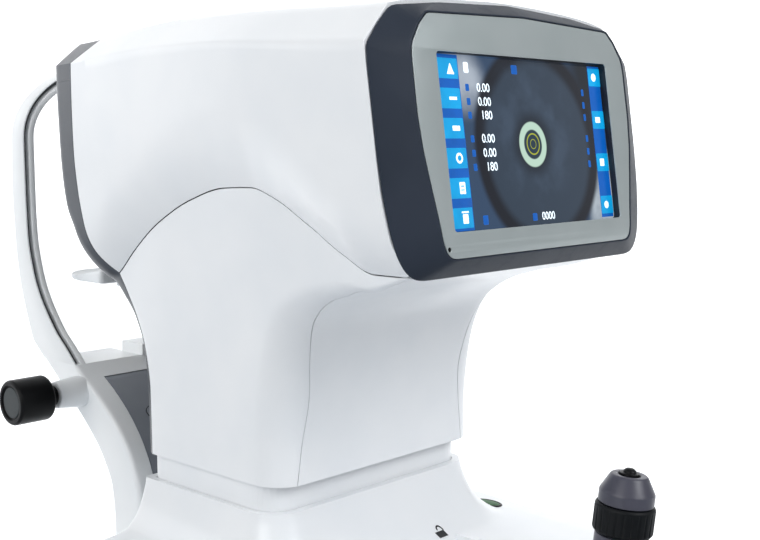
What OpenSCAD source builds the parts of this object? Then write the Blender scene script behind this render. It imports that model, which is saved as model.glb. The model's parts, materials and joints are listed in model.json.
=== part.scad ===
// Table-top autorefractor: a measuring head with a tilted touch screen rides on a
// lifting column over a sliding joystick stage; a fixed headrest stands behind it.
// +X is the operator's right, +Y points to the patient, +Z is up, z = 0 is the table.

/* [Head] */
// Half-width of the head at the screen end
head_half_w = 118; // [105:1:130]
// Half-width of the head at the patient end
head_rear_half_w = 107; // [98:1:118]
// Height of the shoulder crease above the table
shoulder_z = 425; // [415:1:435]
// Height of the roof crown above the table
crown_z = 455; // [448:1:470]
// Half-width of the flat between the shoulder chamfers
roof_half_w = 97; // [85:1:105]
// Wall of every moulded head shell
shell_t = 2.5; // [2:0.1:3.5]
// Height of the optical axis above the table
axis_z = 374; // [365:1:380]

/* [Neck] */
// Half-width of the neck
neck_half_w = 92; // [84:1:98]
// Height of the neck's lower edge
neck_z = 168; // [165:1:174]
// Place of the neck's front face
neck_front_y = -60; // [-66:1:-56]
// Place of the neck's rear face
neck_rear_y = 72; // [68:1:74]
// Corner radius of the neck
neck_r = 22; // [14:1:28]

/* [Screen] */
// Lean of the screen back from upright, in degrees
screen_tilt = 8.4; // [5:0.1:12]
// Width of the screen opening
window_w = 155.6; // [140:0.2:165]
// Height of the screen opening
window_h = 92.2; // [84:0.2:98]
// Depth of the glass below the bezel face
window_depth = 5; // [3:0.5:7]
// Depth of the bevelled frame ring
frame_depth = 11.5; // [8:0.5:14]

/* [Stage] */
// Half-width of the stage cover
stage_half_w = 138; // [128:1:144]
// Place of the stage cover's front edge
stage_front_y = -242; // [-250:1:-232]
// Lower edge of the stage cover
stage_z = 72; // [71:0.5:76]
// Top of the raised lip round the collar
lip_z = 151; // [146:1:152]
// Wall of the stage cover
stage_t = 3; // [2.5:0.1:4]
// Gap between the collar and the inside of the neck
collar_gap = 1.5; // [1:0.1:2.5]

/* [Slides and lift] */
// Diameter of the four slide rods
rod_d = 10; // [8:0.5:12]
// Diameter of the lift's guide rods and lead screw
lift_d = 12; // [10:0.5:14]
// Radial clearance of every bearing on its rod
run_gap = 0.05; // [0.02:0.01:0.1]
// Side travel each way
travel_x = 40; // [25:1:43]
// Fore and aft travel each way
travel_y = 18; // [10:1:20]
// Lift travel each way
travel_z = 15; // [10:1:16]
// Spacing of the lift's guide rods
lift_span = 84; // [76:1:96]

/* [Joystick] */
// Place of the joystick's ball centre, side
stick_x = 61; // [55:1:75]
// Place of the joystick's ball centre, fore and aft
stick_y = -191; // [-196:1:-180]
// Height of the joystick's ball centre
stick_z = 92; // [90:1:94]
// Lean of the stick at rest, in degrees
stick_lean = 6; // [0:0.5:8]
// Outer diameter of the elevation ring
ring_d = 36.6; // [32:0.2:40]
// Diameter of the head of the stick
cap_d = 33.6; // [28:0.2:36]
// Radius of the dome that closes the stick's hole
dome_r = 22; // [20:0.5:24]

/* [Base] */
// Half-width of the base
base_half_w = 118; // [105:1:124]
// Place of the base's front edge
base_front_y = -200; // [-215:1:-185]
// Place of the base's rear edge
base_rear_y = 196; // [192:1:210]
// Top of the base
base_z = 66; // [60:1:66]
// Height of the feet
foot_h = 10; // [8:1:12]
// Wall of the base cover
base_t = 2.5; // [2:0.1:3.5]

/* [Headrest] */
// Outer half-width of the hoop at face height
hoop_half_w = 93; // [86:1:98]
// Height of the top of the hoop
hoop_z = 430; // [420:1:440]
// Thickness of the hoop's side, seen from the patient
hoop_t = 9.5; // [8:0.5:12]
// Height of the shelf under the chin cup
shelf_z = 212; // [208:1:216]
// Top of the chin cup
cup_z = 274; // [270:1:278]
// Half-width of the chin cup
cup_half_w = 45; // [38:1:50]
// Travel of the chin rest below its rest place
chin_down = 34; // [20:1:34]
// Travel of the chin rest above its rest place
chin_up = 31; // [20:1:34]
// Module of the height pinion and its rack
gear_module = 1; // [0.8:0.1:1]
// Teeth on the height pinion
pinion_teeth = 16; // [14:1:16]
// Outer diameter of the height knob
knob_d = 31; // [26:0.5:36]

/* [Hidden] */
$fn = 48;
far = 400;           // longer than any cut
touch = 0.01;        // overlap that makes one piece of two shapes
ring_n = 7;          // points on each corner of a lofted section
side_n = 9;          // points along each side of a lofted section

rod_r = rod_d / 2;
lift_r = lift_d / 2;
rail_z = 79.5;                       // axis of the fore and aft rods
rail_x = 62;                         // their place each side
block_t = 10;                        // thickness of a rod's end block
stop_gap = 3;                        // left between a bearing and a block at the end of travel
plate1_z = 89;                       // underside of the carriage plate
plate_t = 5;                         // thickness of both slide plates
side_rail_z = 101;                 // axis of the side rods
side_rail_y = [-52, 38];             // their two places
plate2_z = 111;                      // underside of the stage plate
plate2_top = plate2_z + plate_t;
bush_l = 30;                         // length of a fore and aft bearing
bush_y = [-72, -2];                  // centres of the fore and aft bearings
rail_y0 = bush_y[0] - bush_l / 2 - travel_y - stop_gap - block_t;
rail_y1 = bush_y[1] + bush_l / 2 + travel_y + stop_gap + block_t;
side_bush_l = 22;                    // length of a side bearing
side_bush_x = 24;                    // centre of a side bearing
side_block_t = 8;                    // thickness of a side rod's end block
side_rail_x = side_bush_x + side_bush_l / 2 + travel_x + stop_gap + side_block_t;
bed_t = 3;                           // thickness of the bed plate
stage_rear_y = 72;                   // rear face of the stage cover
collar_top = neck_z + travel_z + 9;  // top of the sliding collar, still inside the raised neck
screw_y = 6;                         // the lift stands on this line
motor_at = [58, 42];                 // place of the lift motor
pulley_z = 119;                      // underside of both belt pulleys
pulley_h = 8;                        // their height
screw_pulley_r = 16;
motor_pulley_r = 8;
arm_t = 3;                           // wall of the pedestal
arm_front = 94;                      // front face of the pedestal's foot
pinion_r = gear_module * pinion_teeth / 2;
pinion_y = 159;                      // axis of the height knob
pinion_z = 194;
post_w = 24;                         // width of the chin post
post_d = 10;                         // its depth
post_y = pinion_y + pinion_r;        // its rack's pitch line
post_gap = 0.4;                      // gap round the chin post
post_foot_z = 114;                   // lower end of the chin post
screen_at = [0, -173.5, 371];        // middle of the bezel's face
stick_at = [stick_x, stick_y, stick_z];

// ---------- curves ----------
// Smooth S from 0 to 1
function ease(t) = let(u = min(1, max(0, t))) u * u * (3 - 2 * u);
// Slope of a table of [place, value] rows at row i, flat at a turning point
function slope(t, i) =
    let(n = len(t) - 1,
        a = i == 0 ? 0 : (t[i][1] - t[i - 1][1]) / (t[i][0] - t[i - 1][0]),
        b = i == n ? 0 : (t[i + 1][1] - t[i][1]) / (t[i + 1][0] - t[i][0]))
    i == 0 ? b : i == n ? a : a * b <= 0 ? 0 : 2 * a * b / (a + b);
// Smooth curve through a table's rows, read at x
function curve(x, t) =
    let(k = max([for (i = [0:len(t) - 2]) x >= t[i][0] ? i : 0]),
        h = t[k + 1][0] - t[k][0], u = min(1, max(0, (x - t[k][0]) / h)),
        p = t[k][1], q = t[k + 1][1], m = slope(t, k) * h, n = slope(t, k + 1) * h)
    p * (1 + 2 * u) * (1 - u) * (1 - u) + m * u * (1 - u) * (1 - u)
    + q * u * u * (3 - 2 * u) + n * u * u * (u - 1);
// Half outline of a rounded rectangle, front middle to rear middle, as [share of width, y]
function half_round(w, y0, y1, r0, r1) = concat(
    [[0, y0]],
    [for (i = [0:ring_n]) let(a = i * 90 / ring_n) [(w - r0 + r0 * sin(a)) / w, y0 + r0 - r0 * cos(a)]],
    [for (i = [1:side_n]) [1, y0 + r0 + (y1 - r1 - y0 - r0) * i / (side_n + 1)]],
    [for (i = [0:ring_n]) let(a = i * 90 / ring_n) [(w - r1 + r1 * cos(a)) / w, y1 - r1 + r1 * sin(a)]],
    [[0, y1]]);
// Closed outline from half of it, mirrored in X
function both(h) = concat(h, [for (i = [len(h) - 2:-1:1]) [-h[i][0], h[i][1], h[i][2]]]);
// Outline of a rounded rectangle as plain [x, y] points
function round_rect(w, y0, y1, r0, r1) =
    [for (p = both([for (q = half_round(w, y0, y1, r0, r1)) [q[0] * w, q[1], 0]])) [p[0], p[1]]];

// Closed solid through rings of equal length; each cap is zipped left to right
module skin(rings) {
    n = len(rings[0]);
    m = len(rings);
    zip = [for (i = [0:n / 2 - 1]) i == 0 ? [0, 1, n - 1]
        : i == n / 2 - 1 ? [i, i + 1, n - i] : [i, i + 1, n - 1 - i, n - i]];
    polyhedron(
        points = [for (r = rings) each r],
        faces = concat(
            zip,
            [for (j = [0:m - 2], i = [0:n - 1]) let(k = (i + 1) % n)
                each [[j * n + i, (j + 1) * n + k, j * n + k], [j * n + i, (j + 1) * n + i, (j + 1) * n + k]]],
            [for (f = zip) [for (k = [len(f) - 1:-1:0]) f[k] + (m - 1) * n]]),
        convexity = 6);
}
// Region drawn in the side view as [y, z], cut right across the part
module side_cut(points, w = 2 * far, x = 0)
    translate([x, 0, 0]) rotate([90, 0, 90]) linear_extrude(w, center = true) polygon(points);
// Region drawn in the front view as [x, z], from y0 to y1
module front_cut(points, y0 = -far, y1 = far)
    translate([0, y1, 0]) rotate([90, 0, 0]) linear_extrude(y1 - y0) polygon(points);
// Box from its low corner to its high corner
module block(a, b) translate(a) cube(b - a);
// Cylinder along X or Y, from a to b
module bar_x(r, a, b, y, z) translate([a, y, z]) rotate([0, 90, 0]) cylinder(r = r, h = b - a);
module bar_y(r, a, b, x, z) translate([x, a, z]) rotate([-90, 0, 0]) cylinder(r = r, h = b - a);

// ---------- head and neck: one outer skin, split into covers ----------
// Front line of the skin below the screen, as [z, y]
front_line = [[168, 0], [184, 0], [205, -2], [224, -6], [240, -13], [256, -27], [277, -53],
    [290, -72], [298, -95], [306, -122]];
// Rear line of the skin, as [z, y]
rear_line = [[168, 0], [208, 1], [235, 4], [254, 12], [269, 25], [281, 37], [295, 47], [308, 55],
    [331, 67], [358, 72], [385, 74], [404, 75], [455, 76]];
// Line between the covers and the dark trim, as [z, y]
trim_line = [[160, -9.4], [210, -9], [236, -5], [255, 2], [274, 12], [283, 18], [300, 29], [316, 35],
    [339, 42], [365, 46], [397, 47], [418, 47], [436, 41], [470, 38]];
// Arch between the hood and the lower covers, as [y, z]
arch_line = [[-185, 303], [-140, 302], [-119, 311], [-96, 326], [-72, 340], [-55, 345], [-30, 344],
    [3, 336], [38, 321], [70, 301], [93, 283], [130, 262]];
// Seam between the front cover and the side panels, as [z, half-width]
seam_line = [[160, 77], [190, 73], [220, 69], [242, 72], [259, 76], [286, 86], [302, 95], [310, 97]];
// Half-width of the upper head along its length
function upper_w(y) = head_rear_half_w + (head_half_w - head_rear_half_w)
    * curve(y, [[-180, 1], [-60, 0.96], [60, 0.5], [119, 0.18], [150, 0]]);
// Half-width of the skin on the arch line
function arch_w(y) = neck_half_w + curve(y, [[-180, 6], [-140, 3], [-55, 13], [40, 8], [93, 2], [130, 1]]);
// Half-width of the skin at any place on its side
function side_w(y, z) =
    let(h = curve(y, arch_line), w = arch_w(y), u = (z - h) / 46, d = (z - 200) / (h - 200))
    z > h ? w + (upper_w(y) - w) * (1 - pow(1 - min(1, u), curve(y, [[-180, 3.2], [-60, 2.2], [200, 2.2]])))
          : neck_half_w + (w - neck_half_w) * pow(max(0, d), 2.4);
// Share of the width left on the roof, 0 at the shoulder to 1 at the crown
roof_corner = 0.6;
function roof_share(r) = r <= 0 ? 1
    : r <= roof_corner ? 1 - (1 - roof_half_w / head_half_w) * r / roof_corner
    : roof_half_w / head_half_w * sqrt(max(0, (1 - r) / (1 - roof_corner)));
// Fall of the roof towards the screen and towards the patient
function roof_fall(y, r) =
    ease((-y - 20) / 136) * curve(r, [[-1.5, 0], [0, 5], [0.6, 3], [1, 8]])
    + ease((y - 20) / 128) * curve(r, [[-1.5, 0], [0, 5], [0.6, 8], [1, 14]]);
// Levels of the skin: 0 at the neck's edge, 1 on the arch, 2 on the shoulder, 3 on the crown
low_levels = [0, 0.14, 0.27, 0.38, 0.47, 0.55, 0.62, 0.69, 0.75, 0.81, 0.87, 0.92, 0.96, 1];
mid_levels = [1.05, 1.11, 1.18, 1.26, 1.34, 1.43, 1.52, 1.62, 1.74, 1.87, 2];
roof_levels = [2.2, 2.4, 2.6, 2.74, 2.84, 2.92, 2.97, 2.995];
// Height of a level at y, before the roof falls away
function level_z(y, v) =
    let(h = curve(y, arch_line))
    v <= 1 ? neck_z + (h - neck_z) * v
    : v <= 2 ? h + (shoulder_z - h) * (v - 1) : shoulder_z + (crown_z - shoulder_z) * (v - 2);
// Rear line on a level, found by a few repeats because the level itself slopes
function rear_y(v, n = 6, y = 100) =
    n == 0 ? y : rear_y(v, n - 1, neck_rear_y + curve(level_z(y, v), rear_line));
// One ring of the skin on a level, moved inwards by t and down by d
function head_ring(v, t, d = 0) =
    let(y0 = neck_front_y + curve(level_z(-160, v), front_line) + t, y1 = rear_y(v) - t,
        r0 = max(3, neck_r - t - max(0, v - 0.6) * 40), r1 = max(3, 12 - t))
    both([for (p = half_round(neck_half_w, y0, y1, r0, r1))
        let(z = level_z(p[1], v), w = (side_w(p[1], z) - t) * roof_share(v - 2))
        [p[0] * w, p[1], z - d - (v > 1.4 ? roof_fall(p[1], (v - 2) * (v < 2 ? 2.5 : 1)) : 0)]]);
module outer_low() skin([for (v = low_levels) head_ring(v, 0)]);
module outer_high() skin([for (v = concat([1], mid_levels, roof_levels)) head_ring(v, 0)]);
module outer_all() skin([for (v = concat(low_levels, mid_levels, roof_levels)) head_ring(v, 0)]);
module inner_all() skin(concat([head_ring(0, shell_t, 4)],
    [for (v = concat([for (i = [1:len(low_levels) - 2]) low_levels[i]], mid_levels, roof_levels))
        head_ring(v, shell_t, v >= 1.8 ? shell_t : 0)]));
// Everything behind the plane of the frame ring's back edge
module behind_frame(gap = 0)
    translate(screen_at) rotate([90 - screen_tilt, 0, 0])
        translate([-far, -far, -far - frame_depth - gap]) cube([2 * far, 2 * far, far]);
module before_trim(dy = 0)
    side_cut(concat([for (z = [160:6:460]) [neck_rear_y + curve(z, trim_line) + dy, z]],
        [[-far, 460], [-far, 160]]));
module seam_zone()
    front_cut(concat([for (z = [160:6:310]) [curve(z, seam_line), z]],
        [for (z = [310:-6:160]) [-curve(z, seam_line), z]]), -far, -20);
// Every cover is a piece of the hollow skin, worked out as one mesh
module low_wall() difference() {
    outer_low();
    inner_all();
}
module high_wall() difference() {
    outer_high();
    inner_all();
}
module one_mesh() resize([0, 0, 0]) children();

module hood() color([0.93, 0.94, 0.95]) one_mesh() intersection() {
    high_wall();
    behind_frame();
    before_trim();
}
module side_panel(s) color([0.93, 0.94, 0.95]) one_mesh() difference() {
    intersection() {
        low_wall();
        behind_frame();
        before_trim();
        block([s > 0 ? 0 : -far, -far, 0], [s > 0 ? far : 0, far, 400]);
    }
    seam_zone();
}
module side_panel_left() side_panel(-1);
module side_panel_right() side_panel(1);
module front_cover() color([0.93, 0.94, 0.95]) one_mesh() intersection() {
    low_wall();
    behind_frame();
    seam_zone();
}
// Opening of the trim on the patient side, as a front view
panel_edge = [[160, -12], [240, -12], [290, -13], [330, -17], [400, -18], [423, -24]];
module panel_zone()
    front_cut(concat([for (z = [176:8:422]) [panel_w(z), z]], [for (z = [422:-8:176]) [-panel_w(z), z]]),
        30, far);
function panel_w(z) = min(upper_w(140), side_w(neck_rear_y + curve(z, rear_line), z)) + curve(z, panel_edge);
module trim_band() color([0.3, 0.31, 0.33]) one_mesh() difference() {
    outer_all();
    inner_all();
    before_trim();
    panel_zone();
}
module patient_panel() color([0.2, 0.21, 0.23]) one_mesh() difference() {
    intersection() {
        outer_all();
        panel_zone();
    }
    inner_all();
    before_trim();
    bar_y(barrel_r + 2, 60, far, 0, axis_z);
}

// ---------- screen ----------
// Half outlines on the screen's own plane, bottom middle to top middle, as [x, up]
frame_half = [[0, -68.7], [94, -68.7], [101, -67.5], [107, -63], [111.5, -55], [114.5, -43], [117, -25],
    [118, -4], [118, 40], [117, 49.5], [108, 60], [97, 70], [60, 74.2], [0, 77]];
bezel_half = [[0, -60.6], [80, -60.6], [84, -59.8], [87, -57], [88.7, -52], [90.5, -40], [93.5, -24],
    [97, -4], [98.5, 14], [98.2, 44], [97, 50], [90, 60], [83, 66.2], [0, 69]];
function full(h) = concat(h, [for (i = [len(h) - 2:-1:1]) [-h[i][0], h[i][1]]]);
function at_depth(h, z) = [for (p = full(h)) [p[0], p[1], z]];
module on_screen() translate(screen_at) rotate([90 - screen_tilt, 0, 0]) children();
module window(w, h, z0, z1) translate([-w / 2, -h / 2, z0]) cube([w, h, z1 - z0]);
module screen_frame() color([0.24, 0.26, 0.29]) on_screen() one_mesh() difference() {
    skin([at_depth(frame_half, -frame_depth), at_depth(frame_half, -frame_depth + 1.5),
        at_depth(bezel_half, 0)]);
    translate([0, 0, -3]) linear_extrude(9) polygon(full([for (p = bezel_half) p * 0.985]));
    window(window_w + 20, window_h + 20, -far, 1);
}
module bezel() color([0.6, 0.63, 0.63]) on_screen() difference() {
    translate([0, 0, -3]) linear_extrude(3) polygon(full([for (p = bezel_half) p * 0.985]));
    window(window_w, window_h, -6, 1);
    translate([-88, -54, -4]) cylinder(d = 2.5, h = 5);
}
module touch_glass() color([0.1, 0.13, 0.2]) on_screen()
    window(window_w + 12, window_h + 12, -window_depth, -3);
module display_module() color([0.3, 0.3, 0.32]) on_screen() {
    window(window_w + 10, window_h + 10, -window_depth - 6, -window_depth);
    for (x = [-70, 70], y = [-40, 40]) translate([x, y, -window_depth - 14]) cylinder(r = 3, h = 8);
    window(150, 90, -window_depth - 15.6, -window_depth - 14);
    translate([-30, 0, -window_depth - 22]) cube([60, 36, 6.4]);
}

// ---------- optics and head chassis ----------
barrel_r = 26;
bench_z = 292;
bench_t = 5;
module head_chassis() color([0.7, 0.71, 0.73]) difference() {
    union() {
        block([-62, -34, 186], [62, 46, 190]);
        for (s = [-1, 1]) block([s > 0 ? 58 : -62, -34, 190], [s > 0 ? 62 : -58, 46, bench_z]);
        block([-72, -120, bench_z], [72, 96, bench_z + bench_t]);
        block([-86, 20, bench_z], [86, 30, bench_z + bench_t]);
    }
    for (s = [-1, 1]) translate([s * lift_span / 2, screw_y, 180]) cylinder(r = lift_r + 5, h = 20);
    translate([0, screw_y, 180]) cylinder(r = lift_r + 5, h = 20);
}
// Flanged bushings on the guide rods, and the nut on the lead screw between them
module lift_bushings() color([0.72, 0.58, 0.3]) for (x = [-lift_span / 2, 0, lift_span / 2])
    translate([x, screw_y, 0]) difference() {
        union() {
            translate([0, 0, 178]) cylinder(r = lift_r + 5, h = x == 0 ? 26 : 56);
            translate([0, 0, 190]) cylinder(r = lift_r + 9, h = 4);
        }
        translate([0, 0, 170]) cylinder(r = lift_r + run_gap, h = 80);
    }
module optics_barrel() color([0.15, 0.16, 0.17]) difference() {
    union() {
        bar_y(barrel_r, 20, 140, 0, axis_z);
        bar_y(barrel_r + 14, 118, 128, 0, axis_z);
        block([-24, 40, bench_z + bench_t], [24, 60, axis_z]);
        block([-36, -46, bench_z + bench_t], [36, 20, axis_z + 30]);
    }
    bar_y(barrel_r - 3, 22, 141, 0, axis_z);
    bar_y(12, -47, 23, 0, axis_z);
    block([-30, -40, bench_z + bench_t + 4], [30, 14, axis_z + 26]);
}
module front_lens() color([0.5, 0.62, 0.72, 0.5]) intersection() {
    bar_y(barrel_r - 3, 128, 138, 0, axis_z);
    translate([0, 136 - 60, axis_z]) sphere(r = 60, $fn = 96);
}
module camera_unit() color([0.12, 0.13, 0.14]) difference() {
    union() {
        block([-22, -96, bench_z + bench_t], [22, -60, axis_z + 22]);
        bar_y(13, -60, -46, 0, axis_z);
        block([-34, -100, bench_z + bench_t], [34, -96, axis_z + 34]);
    }
    bar_y(10, -58, -45, 0, axis_z);
}

// ---------- base ----------
module feet() color([0.08, 0.08, 0.09])
    for (x = [-1, 1], y = [base_front_y + 30, base_rear_y - 30]) translate([x * (base_half_w - 24), y, 0]) {
        cylinder(r1 = 11, r2 = 13, h = 4);
        translate([0, 0, 4]) cylinder(r = 13, h = foot_h - 4);
    }
module base_tray() color([0.55, 0.56, 0.58]) difference() {
    translate([0, 0, foot_h]) linear_extrude(4)
        polygon(round_rect(base_half_w, base_front_y, base_rear_y, 24, 24));
    for (y = [-120:14:-22]) block([-70, y, foot_h - 1], [-30, y + 5, foot_h + 5]);
}
module base_cover() color([0.9, 0.91, 0.92]) difference() {
    translate([0, 0, foot_h + 4]) linear_extrude(base_z - foot_h - 4)
        polygon(round_rect(base_half_w, base_front_y, base_rear_y, 24, 24));
    translate([0, 0, foot_h + 3]) linear_extrude(base_z - foot_h - 3 - base_t)
        polygon(round_rect(base_half_w - base_t, base_front_y + base_t, base_rear_y - base_t, 22, 22));
    block([-30, 46, base_z - 10], [30, 68, base_z + 1]);
    block([inlet_x - 14, base_rear_y - 10, 26], [inlet_x + 14, base_rear_y + 1, 50]);
    block([base_half_w - 10, switch_y - 14, 28], [base_half_w + 1, switch_y + 14, 48]);
}
inlet_x = -60;
switch_y = -120;
module power_supply() color([0.62, 0.63, 0.6]) difference() {
    block([-80, -110, foot_h + 4], [-10, 20, foot_h + 38]);
    for (y = [-100:10:10]) block([-81, y, foot_h + 12], [-76, y + 4, foot_h + 30]);
}
module power_inlet() color([0.1, 0.1, 0.11]) difference() {
    union() {
        block([inlet_x - 14, base_rear_y - 24, 26], [inlet_x + 14, base_rear_y + 1, 50]);
        block([inlet_x - 19, base_rear_y, 22], [inlet_x + 19, base_rear_y + 2, 54]);
    }
    block([inlet_x - 12, base_rear_y - 14, 29], [inlet_x + 12, base_rear_y + 3, 47]);
}
module switch_frame() color([0.1, 0.1, 0.11]) difference() {
    union() {
        block([base_half_w - 12, switch_y - 14, 28], [base_half_w, switch_y + 14, 48]);
        block([base_half_w, switch_y - 17, 25], [base_half_w + 1.5, switch_y + 17, 51]);
    }
    block([base_half_w - 10, switch_y - 12, 30], [base_half_w + 3, switch_y + 12, 46]);
}
// Rocker with its pivot on a line along Z, pressed at its rear end
module switch_rocker() color([0.16, 0.16, 0.17]) translate([base_half_w - 4, switch_y, 30.1]) {
    cylinder(r = 2, h = 15.8);
    translate([0, 0, 0.4]) linear_extrude(15)
        polygon([[-3, -4], [2.5, -10.5], [6.8, -10.5], [4.6, 0], [4.2, 11], [0.5, 11]]);
}
module bed_plate() color([0.5, 0.51, 0.53]) difference() {
    block([-86, rail_y0 - 4, base_z], [86, rail_y1 + 2, base_z + bed_t]);
    for (x = [-40, 40], y = [rail_y0 + 40, rail_y1 - 40]) translate([x, y, base_z - 1]) cylinder(r = 9, h = bed_t + 2);
}
module rail_blocks() color([0.62, 0.63, 0.65]) difference() {
    for (x = [-rail_x, rail_x], y = [rail_y0, rail_y1 - block_t])
        block([x - 11, y, base_z + bed_t], [x + 11, y + block_t, rail_z + rod_r + 3]);
    for (x = [-rail_x, rail_x]) bar_y(rod_r, rail_y0 - 1, rail_y1 + 1, x, rail_z);
}
module fore_rails() color([0.8, 0.81, 0.82]) for (x = [-rail_x, rail_x]) bar_y(rod_r, rail_y0, rail_y1, x, rail_z);

// ---------- carriage ----------
module carriage_plate() color([0.68, 0.69, 0.71]) difference() {
    block([-88, -90, plate1_z], [88, 60, plate1_z + plate_t]);
    block([-40, -34, plate1_z - 1], [40, 20, plate1_z + plate_t + 1]);
}
module fore_bearings() color([0.35, 0.36, 0.38]) difference() {
    for (x = [-rail_x, rail_x], y = bush_y)
        block([x - 10, y - bush_l / 2, base_z + bed_t + 1.5], [x + 10, y + bush_l / 2, plate1_z]);
    for (x = [-rail_x, rail_x]) bar_y(rod_r + run_gap, -far, far, x, rail_z);
}
module side_blocks() color([0.62, 0.63, 0.65]) difference() {
    for (s = [-1, 1], y = side_rail_y)
        block([s > 0 ? side_rail_x - side_block_t : -side_rail_x, y - 10, plate1_z + plate_t],
            [s > 0 ? side_rail_x : side_block_t - side_rail_x, y + 10, side_rail_z + rod_r + 0.5]);
    for (y = side_rail_y) bar_x(rod_r, -far, far, y, side_rail_z);
}
module side_rails() color([0.8, 0.81, 0.82])
    for (y = side_rail_y) bar_x(rod_r, -side_rail_x, side_rail_x, y, side_rail_z);

// ---------- stage ----------
// Sections of the stage cover from the skirt up to the lip, as
// [z, half-width, front y, front corner radius]; the deck slopes down to the front
deck_z = 112;
deck_slope = 0.04;
lip_y = neck_front_y + 4;
stage_rings = [
    [stage_z, stage_half_w, stage_front_y, 54], [deck_z - 12, stage_half_w, stage_front_y, 54],
    [deck_z - 6, stage_half_w - 0.6, stage_front_y + 0.6, 54], [deck_z - 2.6, stage_half_w - 2.4, stage_front_y + 2.4, 53],
    [deck_z - 0.8, stage_half_w - 6, stage_front_y + 6, 50], [deck_z, stage_half_w - 14, stage_front_y + 18, 46],
    [deck_z + 0.5, stage_half_w - 19, lip_y - 58, 44], [deck_z + 1.3, stage_half_w - 25, lip_y - 38, 40],
    [deck_z + 3, stage_half_w - 29.5, lip_y - 28, 34], [deck_z + 6, stage_half_w - 33, lip_y - 21, 30],
    [deck_z + 10, stage_half_w - 36.5, lip_y - 15, 27], [deck_z + 18, neck_half_w + 5.5, lip_y - 8, 25],
    [deck_z + 27, neck_half_w + 2.8, lip_y - 3.5, 23], [deck_z + 34, neck_half_w + 1, lip_y - 1.2, 22],
    [lip_z, neck_half_w, lip_y, 21]];
// Rise of the sloping deck at a place; the skirt's edge and the lip stay level
function deck_rise(y, z) = deck_slope * (y + 46) * ease((z - stage_z) / 26) * ease((lip_z - z) / 34);
// The cover's solid form, moved inwards by t
module stage_form(t, drop) skin([for (r = stage_rings)
    both([for (q = half_round(r[1] - t, r[2] + t, stage_rear_y - t, max(4, r[3] - t), 4))
        [q[0] * (r[1] - t), q[1], r[0] == stage_z ? stage_z - drop : r[0] - t + deck_rise(q[1], r[0])]])]);
collar_w = neck_half_w - shell_t - collar_gap;
collar_y0 = lip_y + 5.5;
collar_y1 = neck_rear_y - shell_t - collar_gap;
collar_r = neck_r - shell_t - collar_gap;
stick_hole_r = 19.5;
printer_at = [-66, -150];
module stage_cover() color([0.93, 0.94, 0.95]) one_mesh() difference() {
    stage_form(0, 0);
    stage_form(stage_t, 5);
    translate([0, 0, 100]) linear_extrude(100) polygon(round_rect(collar_w, collar_y0, collar_y1, collar_r, 8));
    translate([stick_x, stick_y, 90]) cylinder(r = socket_r + 0.06, h = 60);
    translate([lamp_at[0], lamp_at[1], 80]) cylinder(r = lamp_r + 0.04, h = 60);
    translate([lock_at[0], lock_at[1], 80]) cylinder(r = 4.3, h = 80);
    block([printer_at[0] - 36, -far, stage_z - 1], [printer_at[0] + 36, stage_front_y + 30, stage_z + 24]);
}
module stage_plate() color([0.68, 0.69, 0.71]) difference() {
    block([-88, -64, plate2_z], [88, 64, plate2_top]);
    block([-36, -40, plate2_z - 1], [36, -12, plate2_top + 1]);
}
module side_bearings() color([0.35, 0.36, 0.38]) difference() {
    for (x = [-side_bush_x, side_bush_x], y = side_rail_y)
        block([x - side_bush_l / 2, y - 9, plate1_z + plate_t + 1], [x + side_bush_l / 2, y + 9, plate2_z]);
    for (y = side_rail_y) bar_x(rod_r + run_gap, -far, far, y, side_rail_z);
}
// White sleeve on the stage that the neck slides over
module collar() color([0.88, 0.9, 0.92]) difference() {
    translate([0, 0, plate2_top]) linear_extrude(collar_top - plate2_top)
        polygon(round_rect(collar_w, collar_y0, collar_y1, collar_r, 8));
    translate([0, 0, plate2_top - 1]) linear_extrude(far)
        polygon(round_rect(collar_w - 2.5, collar_y0 + 2.5, collar_y1 - 2.5, collar_r - 2.5, 6));
}
lamp_at = [112.4, -55.2];
lamp_r = 10.5;
lamp_z = 112.8;
lamp_foot_z = side_rail_z + rod_r + 1.2;  // clear of the side blocks that pass under it
module pilot_ring() color([0.1, 0.11, 0.11]) translate([lamp_at[0], lamp_at[1], 0]) difference() {
    translate([0, 0, lamp_foot_z]) cylinder(r = lamp_r, h = lamp_z + 1.8 - lamp_foot_z);
    translate([0, 0, lamp_z - 2]) cylinder(r = lamp_r - 2.5, h = 20);
    translate([0, 0, 99]) cylinder(r = 5, h = 30);
}
module pilot_lens() color([0.25, 0.5, 0.27]) translate([lamp_at[0], lamp_at[1], lamp_z - 2]) {
    cylinder(r = lamp_r - 2.5, h = 3);
    translate([0, 0, 3]) cylinder(r1 = lamp_r - 2.5, r2 = 4, h = 1.6);
}
module lift_rods() color([0.8, 0.81, 0.82]) for (s = [-1, 1]) translate([s * lift_span / 2, screw_y, plate2_top]) {
    cylinder(r = lift_r, h = 268 - plate2_top);
    difference() {
        cylinder(r = lift_r + 6, h = 2.5);
        translate([0, 0, -1]) cylinder(r = lift_r - touch, h = 16);
    }
}
module lift_motor() color([0.2, 0.21, 0.22]) translate([motor_at[0], motor_at[1], 0]) {
    block([-20, -20, pulley_z + pulley_h + 5], [20, 20, 166]);
    translate([0, 0, pulley_z + pulley_h]) cylinder(r = 11, h = 5 + touch);
    translate([0, 0, pulley_z]) cylinder(r = motor_pulley_r, h = pulley_h);
    translate([17, 10, plate2_top]) cylinder(r = 3, h = pulley_z + pulley_h + 5 - plate2_top + touch);
    translate([17, -10, plate2_top]) cylinder(r = 3, h = pulley_z + pulley_h + 5 - plate2_top + touch);
    translate([-8, 17, plate2_top]) cylinder(r = 3, h = pulley_z + pulley_h + 5 - plate2_top + touch);
}
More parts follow.
